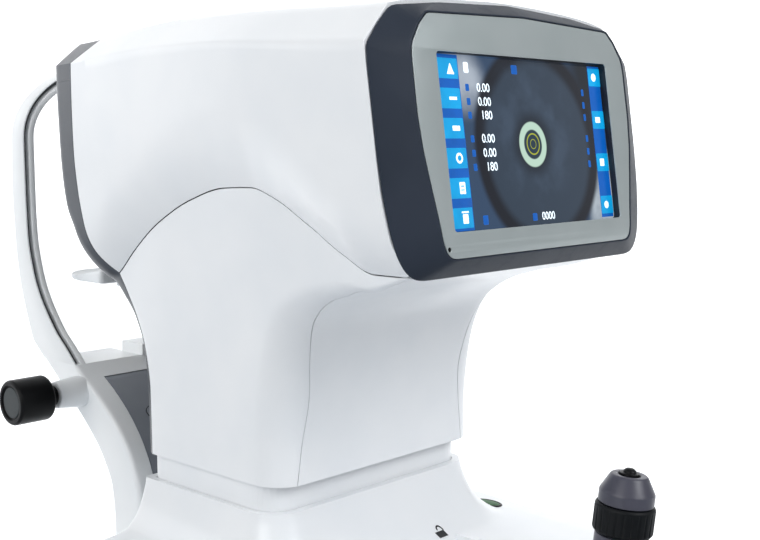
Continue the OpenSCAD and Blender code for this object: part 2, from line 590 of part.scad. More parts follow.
// Outline of a loop round the two pulleys, o outside them; the centres are l apart
function loop(o, l) =
    let(lead = asin((screw_pulley_r - motor_pulley_r) / l))
    concat([for (a = [90 - lead:15:270 + lead]) (screw_pulley_r + o) * [cos(a), sin(a)]],
        [for (a = [-90 + lead:15:90 - lead]) [l, 0] + (motor_pulley_r + o) * [cos(a), sin(a)]]);
// Toothed belt round both pulleys, a running gap off them
module lift_belt() color([0.1, 0.1, 0.11]) {
    d = [motor_at[0], motor_at[1] - screw_y];
    translate([0, screw_y, pulley_z + 1]) rotate([0, 0, atan2(d[1], d[0])])
        linear_extrude(pulley_h - 2) difference() {
            polygon(loop(2.4, norm(d)));
            polygon(loop(0.9, norm(d)));
        }
}
module lead_screw() color([0.76, 0.77, 0.78]) translate([0, screw_y, 0]) {
    translate([0, 0, plate2_top + 0.5]) cylinder(r = lift_r, h = 262 - plate2_top);
    translate([0, 0, pulley_z]) cylinder(r = screw_pulley_r, h = pulley_h);
}
lock_at = [29, -104];
lock_z = 112.5;
// Quarter-turn knob that clamps the stage
module lock_knob() color([0.92, 0.93, 0.94]) translate([lock_at[0], lock_at[1], 0]) {
    translate([0, 0, 104]) cylinder(r = 4, h = lock_z - 104 + touch);
    translate([0, 0, lock_z]) cylinder(r = 9.5, h = 5);
    translate([-2, -8.5, lock_z + 5 - touch]) cube([4, 17, 4]);
    translate([0, 0, 101]) cylinder(r = 7, h = 3 + touch);
}

// ---------- joystick: modelled upright on its ball, then leaned ----------
grip_up = 4;         // rise of the grip over the dome
pin_r = 2;           // trunnion pins of the gimbal
lug_x = 18.5;        // outer face of each lug, inside the dome
socket_r = stick_hole_r + 6;
module gimbal_lean() translate(stick_at) rotate([stick_lean * cos(45), 0, 0]) children();
module leaned() gimbal_lean() rotate([0, stick_lean * sin(45), 0]) children();
// Flange in the deck; from it two arms reach under the dome to the lugs that carry the gimbal
module stick_socket() color([0.14, 0.15, 0.16]) translate([stick_x, stick_y, 0]) {
    difference() {
        translate([0, 0, deck_z - 11]) cylinder(r = socket_r, h = 7.5);
        translate([0, 0, deck_z - 12]) cylinder(r = stick_hole_r + 0.5, h = 9);
        translate([0, 0, deck_z - 12]) cylinder(r = dome_r + 1.2, h = 6.5);
    }
    for (s = [-1, 1]) difference() {
        union() {
            block([s > 0 ? lug_x - 2.5 : -lug_x, -5, stick_z - 18], [s > 0 ? lug_x : 2.5 - lug_x, 5, stick_z + 3.5]);
            block([s > 0 ? lug_x - 2.5 : -socket_r, -5, stick_z - 18], [s > 0 ? socket_r : 2.5 - lug_x, 5, stick_z - 16]);
            block([s > 0 ? socket_r - 2 : -socket_r, -5, stick_z - 18], [s > 0 ? socket_r : 2 - socket_r, 5, deck_z - 9]);
        }
        bar_x(pin_r + run_gap, -20, 20, 0, stick_z);
    }
}
module stick_gimbal() color([0.5, 0.51, 0.53]) {
    gimbal_lean() difference() {
        translate([0, 0, -4]) cylinder(r = 13, h = 8);
        translate([0, 0, -5]) cylinder(r = 10, h = 10);
        bar_y(pin_r + run_gap, -20, 20, 0, 0);
    }
    for (s = [-1, 1]) bar_x(pin_r, stick_x + (s > 0 ? 11.5 : -lug_x), stick_x + (s > 0 ? lug_x : -11.5), stick_y, stick_z);
}
module stick_shaft() color([0.72, 0.73, 0.75]) leaned() {
    sphere(r = 8);
    translate([0, 0, -14]) cylinder(r = 3.5, h = 12);
    cylinder(r = 6, h = 30);
    bar_y(pin_r, -12, 12, 0, 0);
}
// Dome skirt and moulded grip, with a bore for the button's stem
module stick_grip() color([0.34, 0.33, 0.4]) leaned() {
    difference() {
        rotate_extrude() intersection() {
            difference() {
                circle(r = dome_r);
                circle(r = dome_r - 1.6);
            }
            polygon([[6, 0], [6, 30], [8, 30], [30, 8], [30, 7], [12, 3]]);
        }
        cylinder(r = 6, h = 40);
    }
    translate([0, 0, grip_up]) rotate_extrude() polygon([[6, 17], [8, 18.5], [10, 22], [13.5, 27], [16.3, 33],
        [16.3, 40.5], [13.5, 40.5], [13.5, 59.5], [cap_d / 2, 59.5], [cap_d / 2, 66.5], [11.2, 76.4], [10.6, 77],
        [6.6, 77], [6.6, 70], [5, 70], [5, 26], [6, 26]]);
}
module elevation_ring() color([0.09, 0.1, 0.11]) leaned() translate([0, 0, grip_up]) difference() {
    rotate_extrude() polygon([[13.8, 41], [ring_d / 2 - 1.5, 41], [ring_d / 2, 43], [ring_d / 2, 57],
        [ring_d / 2 - 0.8, 59], [13.8, 59]]);
    for (a = [0:15:345]) rotate([0, 0, a]) translate([ring_d / 2 + 0.4, 0, 43.5]) cylinder(r = 1.1, h = 12);
}
module measure_button() color([0.07, 0.07, 0.08]) leaned() translate([0, 0, grip_up]) {
    translate([0, 0, 72.4]) cylinder(r = 6, h = 5.6);
    rotate_extrude() intersection() {
        translate([0, 76.6]) circle(r = 4.3);
        translate([0, 77.9]) square([10, 10]);
    }
    translate([0, 0, 62]) cylinder(r = 3, h = 11);
}

// ---------- printer in the front of the stage ----------
printer_z = stage_z + 2;
printer_top = 100;
roll_r = 11;
roll_y = stage_front_y + 50;
roll_z = 87;
module printer() color([0.16, 0.16, 0.17]) translate([printer_at[0], 0, 0]) difference() {
    union() {
        block([-38, roll_y - 16, printer_z], [38, roll_y + 18, printer_top]);
        for (s = [-1, 1]) block([s > 0 ? 33.4 : -35.4, stage_front_y + 6, printer_z],
            [s > 0 ? 35.4 : -33.4, roll_y - 16 + touch, stage_z + 23]);
    }
    bar_x(roll_r + 1.5, -31, 31, roll_y, roll_z);
    block([-31, roll_y - 17, printer_z + 3], [31, roll_y, roll_z + 9]);
}
module paper_roll() color([0.95, 0.95, 0.93]) translate([printer_at[0], 0, 0]) difference() {
    bar_x(roll_r, -28.5, 28.5, roll_y, roll_z);
    bar_x(5, -30, 30, roll_y, roll_z);
}
door_y = stage_front_y + 3.5;
door_z = stage_z + 5;
// Door hinged on a pin at its lower edge
module printer_door() color([0.9, 0.91, 0.93]) translate([printer_at[0], 0, 0]) difference() {
    union() {
        block([-32.6, stage_front_y + 0.5, door_z - 2], [32.6, stage_front_y + 3.5, stage_z + 23.4]);
        bar_x(2.5, -32.6, 32.6, door_y, door_z);
    }
    bar_x(1.2, -16, 16, stage_front_y + 0.5, stage_z + 19);
}

// ---------- headrest ----------
// Front and rear lines of the arm in the side view, as [z, y]
arm_front_line = [[60, 0], [128, 0], [145, 4.5], [160, 12], [177, 25], [193, 43], [206, 62], [222, 79],
    [235, 93], [256, 105], [277, 111], [306, 114.5], [364, 115], [440, 115]];
arm_rear_line = [[60, 31], [107, 31.5], [130, 34], [149, 44], [165, 57.5], [180, 73], [201, 97], [216, 115],
    [226, 125], [252, 130], [305, 132], [342, 133], [371, 131.5], [440, 130]];
function arm_y0(z) = arm_front + curve(z, arm_front_line);
function arm_y1(z) = arm_front + curve(z, arm_rear_line);
module arm_side(z0, z1, a = 0, b = 0, w = 2 * far) {
    s = (z1 - z0) / ceil((z1 - z0) / 7);
    side_cut(concat([for (z = [z0:s:z1 + touch]) [arm_y0(z) + a, z]], [for (z = [z1:-s:z0 - touch]) [arm_y1(z) - b, z]]), w);
}
// Band that follows the arm's front line, from a to b behind it
module arm_band(z0, z1, a, b) {
    s = (z1 - z0) / ceil((z1 - z0) / 7);
    side_cut(concat([for (z = [z0:s:z1 + touch]) [arm_y0(z) + a, z]], [for (z = [z1:-s:z0 - touch]) [arm_y0(z) + b, z]]));
}
// Half-width of the hoop's outside in the front view
spring_z = 371;
function hoop_w(z) = z < spring_z
    ? hoop_half_w + curve(z, [[60, -12], [150, -12], [200, -9], [235, -7], [270, -2.5], [300, -0.5], [330, 0], [372, 0]])
    : hoop_half_w * pow(max(0, 1 - pow((z - spring_z) / (hoop_z - spring_z), 2.1)), 1 / 2.1);
// Front-view form of the hoop, moved inwards by t; its foot is at z0
function hoop_half(t, z0) = concat(
    [for (z = [z0:10:spring_z - 1]) [hoop_w(z) - t, z]],
    [for (a = [0:6:84]) let(c = pow(cos(a), 2 / 2.1), s = pow(sin(a), 2 / 2.1))
        [(hoop_half_w - t) * c, spring_z + (hoop_z - t - spring_z) * s]]);
function hoop_outline(t, z0) = let(h = hoop_half(t, z0))
    concat(h, [[0, hoop_z - t]], [for (i = [len(h) - 1:-1:0]) [-h[i][0], h[i][1]]]);
module hoop() color([0.93, 0.94, 0.95]) difference() {
    intersection() {
        arm_side(shelf_z, hoop_z + 5);
        front_cut(hoop_outline(0, shelf_z), 100, 300);
    }
    front_cut(hoop_outline(hoop_t, shelf_z - 1), 100, 300);
    intersection() {
        arm_side(shelf_z + 6, hoop_z + 5, -2, 8);
        difference() {
            front_cut(hoop_outline(1.2, shelf_z + 6), 100, 300);
            front_cut(hoop_outline(hoop_t - 5, shelf_z + 5), 99, 301);
        }
    }
}
// Foot of the headrest: a hollow curved box that the hoop stands on
module pedestal() color([0.92, 0.93, 0.94]) difference() {
    intersection() {
        arm_side(base_z, shelf_z);
        front_cut(concat([for (z = [base_z:20:shelf_z + 10]) [hoop_w(z), z]],
            [for (z = [shelf_z + 10:-20:base_z]) [-hoop_w(z), z]]), 60, 300);
    }
    arm_side(base_z - 1, shelf_z - arm_t, arm_t, arm_t, w = 150);
    intersection() {
        arm_band(96, 207, -5, arm_t + 1);
        front_cut(panel_form(0), 60, 200);
    }
    bar_x(boss_r, -far, -70, pinion_y, pinion_z);
    block([-col_w, post_y - 2.5, 100], [col_w, 200, shelf_z + 1]);
    block([-14, 146, pinion_z - 12], [14, 200, shelf_z + 1]);
}
panel_top = 203;
function panel_form(g) = [[-66 + g, 100 + g], [66 - g, 100 + g], [68 - g, panel_top - g], [-68 + g, panel_top - g]];
module pedestal_panel() color([0.82, 0.84, 0.87]) difference() {
    intersection() {
        arm_band(96, 207, 0.4, arm_t);
        front_cut(panel_form(0.5), 60, 200);
    }
    on_cap() translate([0, 0, -12]) cylinder(d = cap_size, h = 20);
}
cap_at = [-49, 179];
cap_size = 9;
module on_cap() translate([cap_at[0], arm_y0(cap_at[1]), cap_at[1]]) rotate([50, 0, 0]) children();
module panel_cap() color([0.75, 0.77, 0.8]) on_cap() translate([0, 0, -1.5]) cylinder(d = cap_size, h = 2.4);
// Hollow column that guides the chin post
col_w = 27;
col_y1 = 186;
module chin_column() color([0.92, 0.93, 0.94]) difference() {
    step = (shelf_z - base_z) / ceil((shelf_z - base_z) / 7);
    union() {
        difference() {
            block([-col_w, 100, base_z], [col_w, col_y1, shelf_z - touch]);
            side_cut(concat([[90, base_z - 1]], [for (z = [base_z:step:shelf_z + step]) [arm_y1(z), z]],
                [[90, shelf_z + 4]]));
        }
        block([-29, 160, shelf_z], [29, col_y1, shelf_z + 8]);
        block([-col_w, 166, shelf_z - 27], [col_w, col_y1, shelf_z + touch]);
    }
    block([-post_w / 2 - post_gap, post_y - 2, base_z - 1],
        [post_w / 2 + post_gap, post_y + post_d + post_gap, shelf_z + 9]);
    bar_x(4.3, -far, 20, pinion_y, pinion_z);
}
pitch = PI * gear_module;
module chin_post() color([0.75, 0.76, 0.78]) {
    block([-post_w / 2, post_y + 1.4, post_foot_z], [post_w / 2, post_y + post_d, cup_z - 16]);
    for (k = [floor((pinion_z - chin_up - 12 - pinion_z) / pitch):ceil((chin_down + 12) / pitch)])
        translate([0, post_y, pinion_z + (k + 0.5) * pitch]) side_cut([[1.5, -0.95], [-0.75, -0.38],
            [-0.75, 0.38], [1.5, 0.95]], 12);
    block([-14, post_y + 1.4, cup_z - 16 - touch], [14, post_y + 46, cup_z - 10]);
}
cup_rear = 242;
module chin_cup() color([0.9, 0.92, 0.93]) difference() {
    translate([0, 0, cup_z - 10]) linear_extrude(10)
        polygon(round_rect(cup_half_w, 188, cup_rear, 4, 26));
    translate([0, 228, cup_z + 62]) rotate([0, 90, 0]) translate([0, 0, -60]) cylinder(r = 68, h = 120, $fn = 96);
}
// Curved pad, hung from the top of the hoop by a short stem
module forehead_pad() color([0.85, 0.87, 0.88]) {
    difference() {
        front_cut(concat([for (a = [-38:4:38]) [96 * sin(a), 316 + 96 * cos(a)]],
            [for (a = [38:-4:-38]) [82 * sin(a), 316 + 82 * cos(a)]]), 205, 219);
        translate([0, 300, 380]) cylinder(r = 90, h = 50, $fn = 96);
    }
    intersection() {
        union() {
            block([-13, 206, 404], [13, 210, hoop_z]);
            block([-13, 206, 413], [13, 216, hoop_z]);
        }
        front_cut(hoop_outline(hoop_t, shelf_z), 100, 300);
    }
}
boss_r = 11;
boss_end = -104;     // outer end of the boss
knob_x0 = -138;      // outer face of the height knob
knob_x1 = -111.5;    // its inner face
module knob_boss() color([0.92, 0.93, 0.94]) difference() {
    union() {
        bar_x(boss_r, -90, -75, pinion_y, pinion_z);
        translate([boss_end, pinion_y, pinion_z]) rotate([0, 90, 0]) cylinder(r1 = boss_r - 1.8, r2 = boss_r,
            h = -90 - boss_end + touch);
    }
    bar_x(4 + run_gap, boss_end - 1, -60, pinion_y, pinion_z);
}
module knob_shaft() color([0.75, 0.76, 0.78]) {
    bar_x(4, knob_x0 + 6, 16, pinion_y, pinion_z);
    translate([-5, pinion_y, pinion_z]) rotate([90, 0, 90]) linear_extrude(10) pinion();
}
// Pinion outline with one tooth gap facing the rack's tooth at rest
module pinion() polygon([for (k = [0:pinion_teeth - 1], p = [[-0.25, -1.25], [-0.13, 0.75], [0.13, 0.75],
    [0.25, -1.25]]) let(a = (k + p[0]) * 360 / pinion_teeth, r = pinion_r + p[1]) [r * cos(a), r * sin(a)]]);
module height_knob() color([0.08, 0.08, 0.09]) difference() {
    union() {
        bar_x(7, knob_x1 - 0.5, boss_end - 0.5, pinion_y, pinion_z);
        bar_x(knob_d / 2, knob_x0, knob_x1, pinion_y, pinion_z);
    }
    bar_x(knob_d / 2 - 4, knob_x0 - 1, knob_x0 + 1.5, pinion_y, pinion_z);
    bar_x(4, knob_x0 + 6, boss_end, pinion_y, pinion_z);
    for (a = [0:12:348])
        translate([knob_x0 + 3.5, pinion_y + (knob_d / 2 + 0.3) * cos(a), pinion_z + (knob_d / 2 + 0.3) * sin(a)])
            rotate([0, 90, 0]) cylinder(r = 0.9, h = knob_x1 - knob_x0 - 7, $fn = 16);
}

feet();
base_tray();
base_cover();
bed_plate();
rail_blocks();
fore_rails();
power_supply();
power_inlet();
switch_frame();
switch_rocker();
pedestal();
pedestal_panel();
panel_cap();
chin_column();
hoop();
forehead_pad();
chin_post();
chin_cup();
knob_boss();
knob_shaft();
height_knob();
carriage_plate();
fore_bearings();
side_blocks();
side_rails();
stage_cover();
stage_plate();
side_bearings();
collar();
pilot_ring();
pilot_lens();
lift_rods();
lift_motor();
lift_belt();
lead_screw();
lock_knob();
stick_socket();
stick_gimbal();
stick_shaft();
stick_grip();
elevation_ring();
measure_button();
printer();
paper_roll();
printer_door();
hood();
side_panel_left();
side_panel_right();
front_cover();
trim_band();
patient_panel();
screen_frame();
bezel();
touch_glass();
display_module();
head_chassis();
lift_bushings();
optics_barrel();
front_lens();
camera_unit();
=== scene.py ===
"""Autorefractor: smooth covers, screen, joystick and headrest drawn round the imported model.

Lengths are in millimetres until piece() turns them into metres; +X is the operator's right,
+Y points to the patient and +Z is up.
"""

import json
import math

import bmesh
import bpy
import numpy as np
from mathutils import Matrix, Vector

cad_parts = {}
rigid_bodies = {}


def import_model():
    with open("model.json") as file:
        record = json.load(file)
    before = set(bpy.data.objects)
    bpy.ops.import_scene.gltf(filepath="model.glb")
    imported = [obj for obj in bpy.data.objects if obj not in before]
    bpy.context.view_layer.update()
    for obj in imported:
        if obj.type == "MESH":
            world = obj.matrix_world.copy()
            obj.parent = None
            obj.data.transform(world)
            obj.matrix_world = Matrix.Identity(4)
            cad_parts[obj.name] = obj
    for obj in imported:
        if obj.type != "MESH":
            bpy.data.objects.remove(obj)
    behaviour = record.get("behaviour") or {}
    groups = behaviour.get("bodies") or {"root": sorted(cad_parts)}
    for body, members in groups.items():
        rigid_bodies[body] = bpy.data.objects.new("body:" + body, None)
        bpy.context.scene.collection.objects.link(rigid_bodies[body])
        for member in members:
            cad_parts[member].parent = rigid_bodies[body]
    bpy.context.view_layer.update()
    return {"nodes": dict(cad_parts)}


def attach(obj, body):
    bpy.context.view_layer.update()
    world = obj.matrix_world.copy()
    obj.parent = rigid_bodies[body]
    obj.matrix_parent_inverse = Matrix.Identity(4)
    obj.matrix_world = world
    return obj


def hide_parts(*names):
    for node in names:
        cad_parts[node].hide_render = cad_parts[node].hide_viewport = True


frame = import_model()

MM = 0.001
NODES = frame["nodes"]
HEAD_MIDDLE = (0.0, -20.0, 330.0)
TILT = math.radians(8.4)
SCREEN = Matrix.Translation((0, -173.5, 371)) @ Matrix.Rotation(math.pi / 2 - TILT, 4, "X")
WALL = 2.5


# ---------- materials ----------
def tint(code):
    """Linear colour of a hex code: each channel is raised by the screen curve."""
    rgb = [int(code[i:i + 2], 16) / 255 for i in (1, 3, 5)]
    return [c / 12.92 if c < 0.04 else ((c + 0.055) / 1.055) ** 2.4 for c in rgb] + [1.0]


def fine_surface():
    """Shared group: broad tone, rubbed patches and a fine bump, all from noise in object space."""
    g = bpy.data.node_groups.new("fine_surface", "ShaderNodeTree")
    for name, value in (("Grain scale", 2500.0), ("Grain depth", 0.15), ("Broad scale", 22.0)):
        s = g.interface.new_socket(name=name, in_out="INPUT", socket_type="NodeSocketFloat")
        s.default_value = value
    for name, kind in (("Tone", "Float"), ("Rub", "Float"), ("Normal", "Vector")):
        g.interface.new_socket(name=name, in_out="OUTPUT", socket_type="NodeSocket" + kind)
    n, link = g.nodes, g.links.new
    start, end = n.new("NodeGroupInput"), n.new("NodeGroupOutput")
    place = n.new("ShaderNodeTexCoord")
    grain, broad, rub = (n.new("ShaderNodeTexNoise") for _ in range(3))
    bump, tone, patch = n.new("ShaderNodeBump"), n.new("ShaderNodeMapRange"), n.new("ShaderNodeMapRange")
    five = n.new("ShaderNodeMath")
    five.operation = "MULTIPLY"
    five.inputs[1].default_value = 5.0
    grain.inputs["Detail"].default_value = 2.0
    rub.inputs["Detail"].default_value = 6.0
    rub.inputs["Roughness"].default_value = 0.7
    bump.inputs["Distance"].default_value = 0.0002
    for box, low, high in ((tone, 0.3, 0.7), (patch, 0.5, 0.72)):
        box.inputs["From Min"].default_value = low
        box.inputs["From Max"].default_value = high
    for tex in (grain, broad, rub):
        link(place.outputs["Object"], tex.inputs["Vector"])
    link(start.outputs["Grain scale"], grain.inputs["Scale"])
    link(start.outputs["Broad scale"], broad.inputs["Scale"])
    link(start.outputs["Broad scale"], five.inputs[0])
    link(five.outputs[0], rub.inputs["Scale"])
    link(start.outputs["Grain depth"], bump.inputs["Strength"])
    link(grain.outputs[0], bump.inputs["Height"])
    link(broad.outputs[0], tone.inputs["Value"])
    link(rub.outputs[0], patch.inputs["Value"])
    link(tone.outputs[0], end.inputs["Tone"])
    link(patch.outputs[0], end.inputs["Rub"])
    link(bump.outputs[0], end.inputs["Normal"])
    return g


SURFACE = fine_surface()
STUFF = {}


def stuff(slot, light, dark, rough, metal=0.0, grain=(2500, 0.12), broad=22, rub=0.08, coat=0.0, clear=0.0,
          shine=0.5):
    """A material: two close tones mixed by the broad noise, roughness raised where it is rubbed."""
    m = bpy.data.materials.new(slot)
    m.use_nodes = True
    n, link = m.node_tree.nodes, m.node_tree.links.new
    p = n["Principled BSDF"]
    g = n.new("ShaderNodeGroup")
    g.node_tree = SURFACE
    for name, value in (("Grain scale", grain[0]), ("Grain depth", grain[1]), ("Broad scale", broad)):
        g.inputs[name].default_value = value
    mix, span = n.new("ShaderNodeMix"), n.new("ShaderNodeMapRange")
    mix.data_type = "RGBA"
    mix.inputs[6].default_value = tint(dark)
    mix.inputs[7].default_value = tint(light)
    span.inputs["To Min"].default_value = rough
    span.inputs["To Max"].default_value = rough + rub
    link(g.outputs["Tone"], mix.inputs[0])
    link(g.outputs["Rub"], span.inputs["Value"])
    link(mix.outputs[2], p.inputs["Base Color"])
    link(span.outputs[0], p.inputs["Roughness"])
    link(g.outputs["Normal"], p.inputs["Normal"])
    p.inputs["Metallic"].default_value = metal
    p.inputs["Coat Weight"].default_value = coat
    p.inputs["Coat Roughness"].default_value = 0.08
    p.inputs["Transmission Weight"].default_value = clear
    p.inputs["Specular IOR Level"].default_value = shine
    STUFF[slot] = m
    return m


def make_materials():
    """Every finish of the object, named after the record's slots, and a painted shade for the hoop's groove.
    """
    stuff("white_shell", "#F0F2F4", "#EBEEF1", 0.30, grain=(1800, 0.05), coat=0.15)
    stuff("white_headrest", "#F4F6F7", "#EFF2F4", 0.36, grain=(1800, 0.08))
    stuff("foot_rubber", "#17181A", "#101113", 0.75, grain=(1500, 0.3))
    stuff("base_steel", "#8E9297", "#84888E", 0.38, metal=0.9, grain=(2200, 0.1))
    stuff("bare_steel", "#B9BCC0", "#A9ADB2", 0.24, metal=1.0, grain=(2600, 0.08))
    stuff("cast_alloy", "#B4B7BA", "#A5A8AC", 0.45, metal=0.8, grain=(900, 0.25))
    stuff("ground_rod", "#D6D8DA", "#C9CCCF", 0.14, metal=1.0, grain=(3500, 0.04))
    stuff("black_plastic", "#1B1D20", "#141619", 0.42, grain=(1400, 0.25))
    stuff("panel_grey", "#8E939B", "#878C95", 0.36, grain=(1600, 0.08))
    stuff("rest_silicone", "#EDF0F2", "#E6EAED", 0.48, grain=(1300, 0.12))
    stuff("knob_black", "#060709", "#040506", 0.40, grain=(1700, 0.2), shine=0.2)
    stuff("bearing_grey", "#55585C", "#4B4E52", 0.40, metal=0.5, grain=(1600, 0.15))
    stuff("lamp_green", "#2C6A35", "#1C4F26", 0.45, grain=(700, 0.35), broad=260, shine=0.15)
    stuff("motor_black", "#222326", "#1A1B1E", 0.45, metal=0.2, grain=(1500, 0.2))
    stuff("belt_rubber", "#15161A", "#0F1013", 0.70, grain=(1600, 0.3))
    stuff("grip_slate", "#474753", "#3E3E4A", 0.36, grain=(1700, 0.1))
    stuff("ring_black", "#060A0E", "#04070A", 0.50, grain=(1300, 0.2), shine=0.2)
    stuff("thermal_paper", "#F1F0EB", "#EAE9E3", 0.80, grain=(900, 0.2))
    stuff("trim_grey", "#474C54", "#40454D", 0.32, grain=(1700, 0.14))
    stuff("panel_dark", "#2C2F33", "#26292D", 0.40, grain=(1700, 0.14))
    stuff("frame_charcoal", "#2F3642", "#29303B", 0.45, grain=(1700, 0.12), shine=0.15)
    stuff("bezel_grey", "#B0B8B8", "#A8B1B1", 0.30, metal=0.3, grain=(2200, 0.1), coat=0.15)
    stuff("bush_bronze", "#B08A48", "#9C773A", 0.36, metal=0.9, grain=(1500, 0.15))
    stuff("lens_glass", "#9FB6C6", "#8FA8BA", 0.05, grain=(400, 0.01), clear=0.7, coat=1.0)
    stuff("knob_disc", "#3A3F41", "#34393B", 0.45, shine=0.3)
    # painted shade: dark grey for the piece laid in the hoop's white channel, standing in for the shade
    # inside it
    stuff("groove_painted_shade", "#4B4E51", "#3F4245", 0.5)
    stuff("print_black", "#202226", "#17191C", 0.45)
    stuff("recess_dark", "#1D2126", "#181B20", 0.5)
    stuff("seam_dark", "#33373D", "#2A2E33", 0.60)


# ---------- mesh building ----------
def grid_faces(m, n, wrap_rows=False, wrap_cols=False, start=0):
    """Four-sided faces of a grid of m rows by n columns, either way closed on itself."""
    a, b = np.meshgrid(np.arange(m - (not wrap_rows)), np.arange(n - (not wrap_cols)), indexing="ij")
    c, d = (a + 1) % m, (b + 1) % n
    return (np.stack([a * n + b, c * n + b, c * n + d, a * n + d], -1).reshape(-1, 4) + start).tolist()


def finish_mesh(me, sharp):
    """Joins equal points, turns faces outwards and keeps edges over `sharp` degrees crisp."""
    bm = bmesh.new()
    bm.from_mesh(me)
    bmesh.ops.remove_doubles(bm, verts=bm.verts, dist=3e-6)
    bmesh.ops.dissolve_degenerate(bm, edges=bm.edges, dist=1e-7)
    bmesh.ops.recalc_face_normals(bm, faces=bm.faces)
    bm.to_mesh(me)
    bm.free()
    me.shade_smooth()
    me.set_sharp_from_angle(angle=math.radians(sharp))


def settle(ob, slot, body, hides, roll, sharp):
    """Material, rolled edges, body and the CAD nodes that the piece stands for."""
    ob.data.materials.clear()
    ob.data.materials.append(STUFF[slot])
    if roll:
        b = ob.modifiers.new("rolled_edge", "BEVEL")
        b.width = roll * MM
        b.segments = 3
        b.limit_method = "ANGLE"
        b.angle_limit = math.radians(sharp)
        b.harden_normals = True
    if body:
        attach(ob, body)
    for node in hides:
        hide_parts(node)
    return ob


def piece(name, points, faces, slot, body, hides=(), place=None, roll=0.0, sharp=35):
    """A mesh from points in millimetres and faces, placed by a matrix."""
    p = np.asarray(points, float).reshape(-1, 3)
    if place is not None:
        t = np.array(place)
        p = p @ t[:3, :3].T + t[:3, 3]
    me = bpy.data.meshes.new(name)
    me.from_pydata((p * MM).tolist(), [], faces)
    finish_mesh(me, sharp)
    ob = bpy.data.objects.new(name, me)
    bpy.context.scene.collection.objects.link(ob)
    return settle(ob, slot, body, hides, roll, sharp)


def shell(name, grid, slot, body, hides=(), wall=WALL, roll=0.35, middle=HEAD_MIDDLE):
    """A closed cover: a grid, the same grid moved in along its normals, and a rim round both."""
    m, n = grid.shape[:2]
    out = np.cross(np.gradient(grid, axis=0), np.gradient(grid, axis=1))
    out /= np.maximum(np.linalg.norm(out, axis=2, keepdims=True), 1e-9)
    if (out * (grid - np.array(middle))).sum() < 0:
        out = -out
    edge = np.concatenate([np.arange(n - 1), n - 1 + n * np.arange(m - 1),
                           m * n - 1 - np.arange(n - 1), n * (m - 1 - np.arange(m - 1))])
    after = np.roll(edge, -1)
    rim = np.stack([edge, after, after + m * n, edge + m * n], 1).tolist()
    faces = grid_faces(m, n) + grid_faces(m, n, start=m * n) + rim
    points = np.concatenate([grid.reshape(-1, 3), (grid - wall * out).reshape(-1, 3)])
    return piece(name, points, faces, slot, body, hides, roll=roll, sharp=50)


def loft(name, rings, slot, body, hides=(), closed=False, place=None, roll=0.0, sharp=35):
    """A solid through rings of points; open ends are closed flat, a closed loft meets itself."""
    r = np.asarray(rings, float)
    m, n = r.shape[:2]
    faces = grid_faces(m, n, closed, True)
    if not closed:
        faces += [list(range(n)), list(range((m - 1) * n, m * n))]
    return piece(name, r, faces, slot, body, hides, place, roll, sharp)


def fillet(line, r, n=5, closed=True):
    """Corners of a line rounded: a parabola between the points r from each corner along its edges."""
    p = np.asarray(line, float)
    back, on = np.roll(p, 1, 0) - p, np.roll(p, -1, 0) - p
    lb = np.maximum(np.linalg.norm(back, axis=1, keepdims=True), 1e-9)
    lo = np.maximum(np.linalg.norm(on, axis=1, keepdims=True), 1e-9)
    a, b = p + back * np.minimum(r / lb, 0.45), p + on * np.minimum(r / lo, 0.45)
    t = np.linspace(0, 1, n)[None, :, None]
    q = a[:, None] * (1 - t) ** 2 + p[:, None] * 2 * t * (1 - t) + b[:, None] * t ** 2
    if not closed:
        q[0], q[-1] = p[0], p[-1]
    return q.reshape(-1, p.shape[1])


def lathe(name, profile, slot, body, hides=(), place=None, round_by=0.6, turns=96, ripple=None,
          closed=False):
    """A profile of (radius, height) with rounded corners turned round the Z axis; ripple(angle,
    height) adds to the radius."""
    line = fillet(profile, round_by, closed=closed)
    a = np.linspace(0, 2 * np.pi, turns, endpoint=False)[None, :]
    r, z = line[:, :1] + 0 * a, line[:, 1:] + 0 * a
    if ripple:
        r = r + ripple(a, z)
    points = np.stack([r * np.cos(a), r * np.sin(a), z], -1)
    m = len(line)
    return piece(name, points, grid_faces(m, turns, closed, True), slot, body, hides, place, sharp=32)


def plate(name, outlines, low, high, slot, body, hides=(), place=None, bevel=0.3):
    """A flat plate between two heights: the first outline is its rim, the others are holes."""
    cu = bpy.data.curves.new(name, "CURVE")
    cu.dimensions = "2D"
    cu.fill_mode = "BOTH"
    cu.extrude = ((high - low) / 2 - bevel) * MM
    cu.bevel_depth = bevel * MM
    cu.offset = -bevel * MM
    cu.bevel_resolution = 2
    for line in outlines:
        s = cu.splines.new("POLY")
        s.points.add(len(line) - 1)
        co = np.ones((len(line), 4))
        co[:, :2] = np.asarray(line) * MM
        co[:, 2] = 0
        s.points.foreach_set("co", co.ravel())
        s.use_cyclic_u = True
    flat = bpy.data.objects.new(name, cu)
    bpy.context.scene.collection.objects.link(flat)
    bpy.context.view_layer.update()
    me = bpy.data.meshes.new_from_object(flat.evaluated_get(bpy.context.evaluated_depsgraph_get()))
    bpy.data.objects.remove(flat)
    shift = Matrix.Translation((0, 0, (high + low) / 2))
    whole = (place or Matrix.Identity(4)) @ shift
    me.transform(Matrix.Scale(MM, 4) @ whole @ Matrix.Scale(1 / MM, 4))
    finish_mesh(me, 35)
    ob = bpy.data.objects.new(name, me)
    bpy.context.scene.collection.objects.link(ob)
    return settle(ob, slot, body, hides, 0, 35)


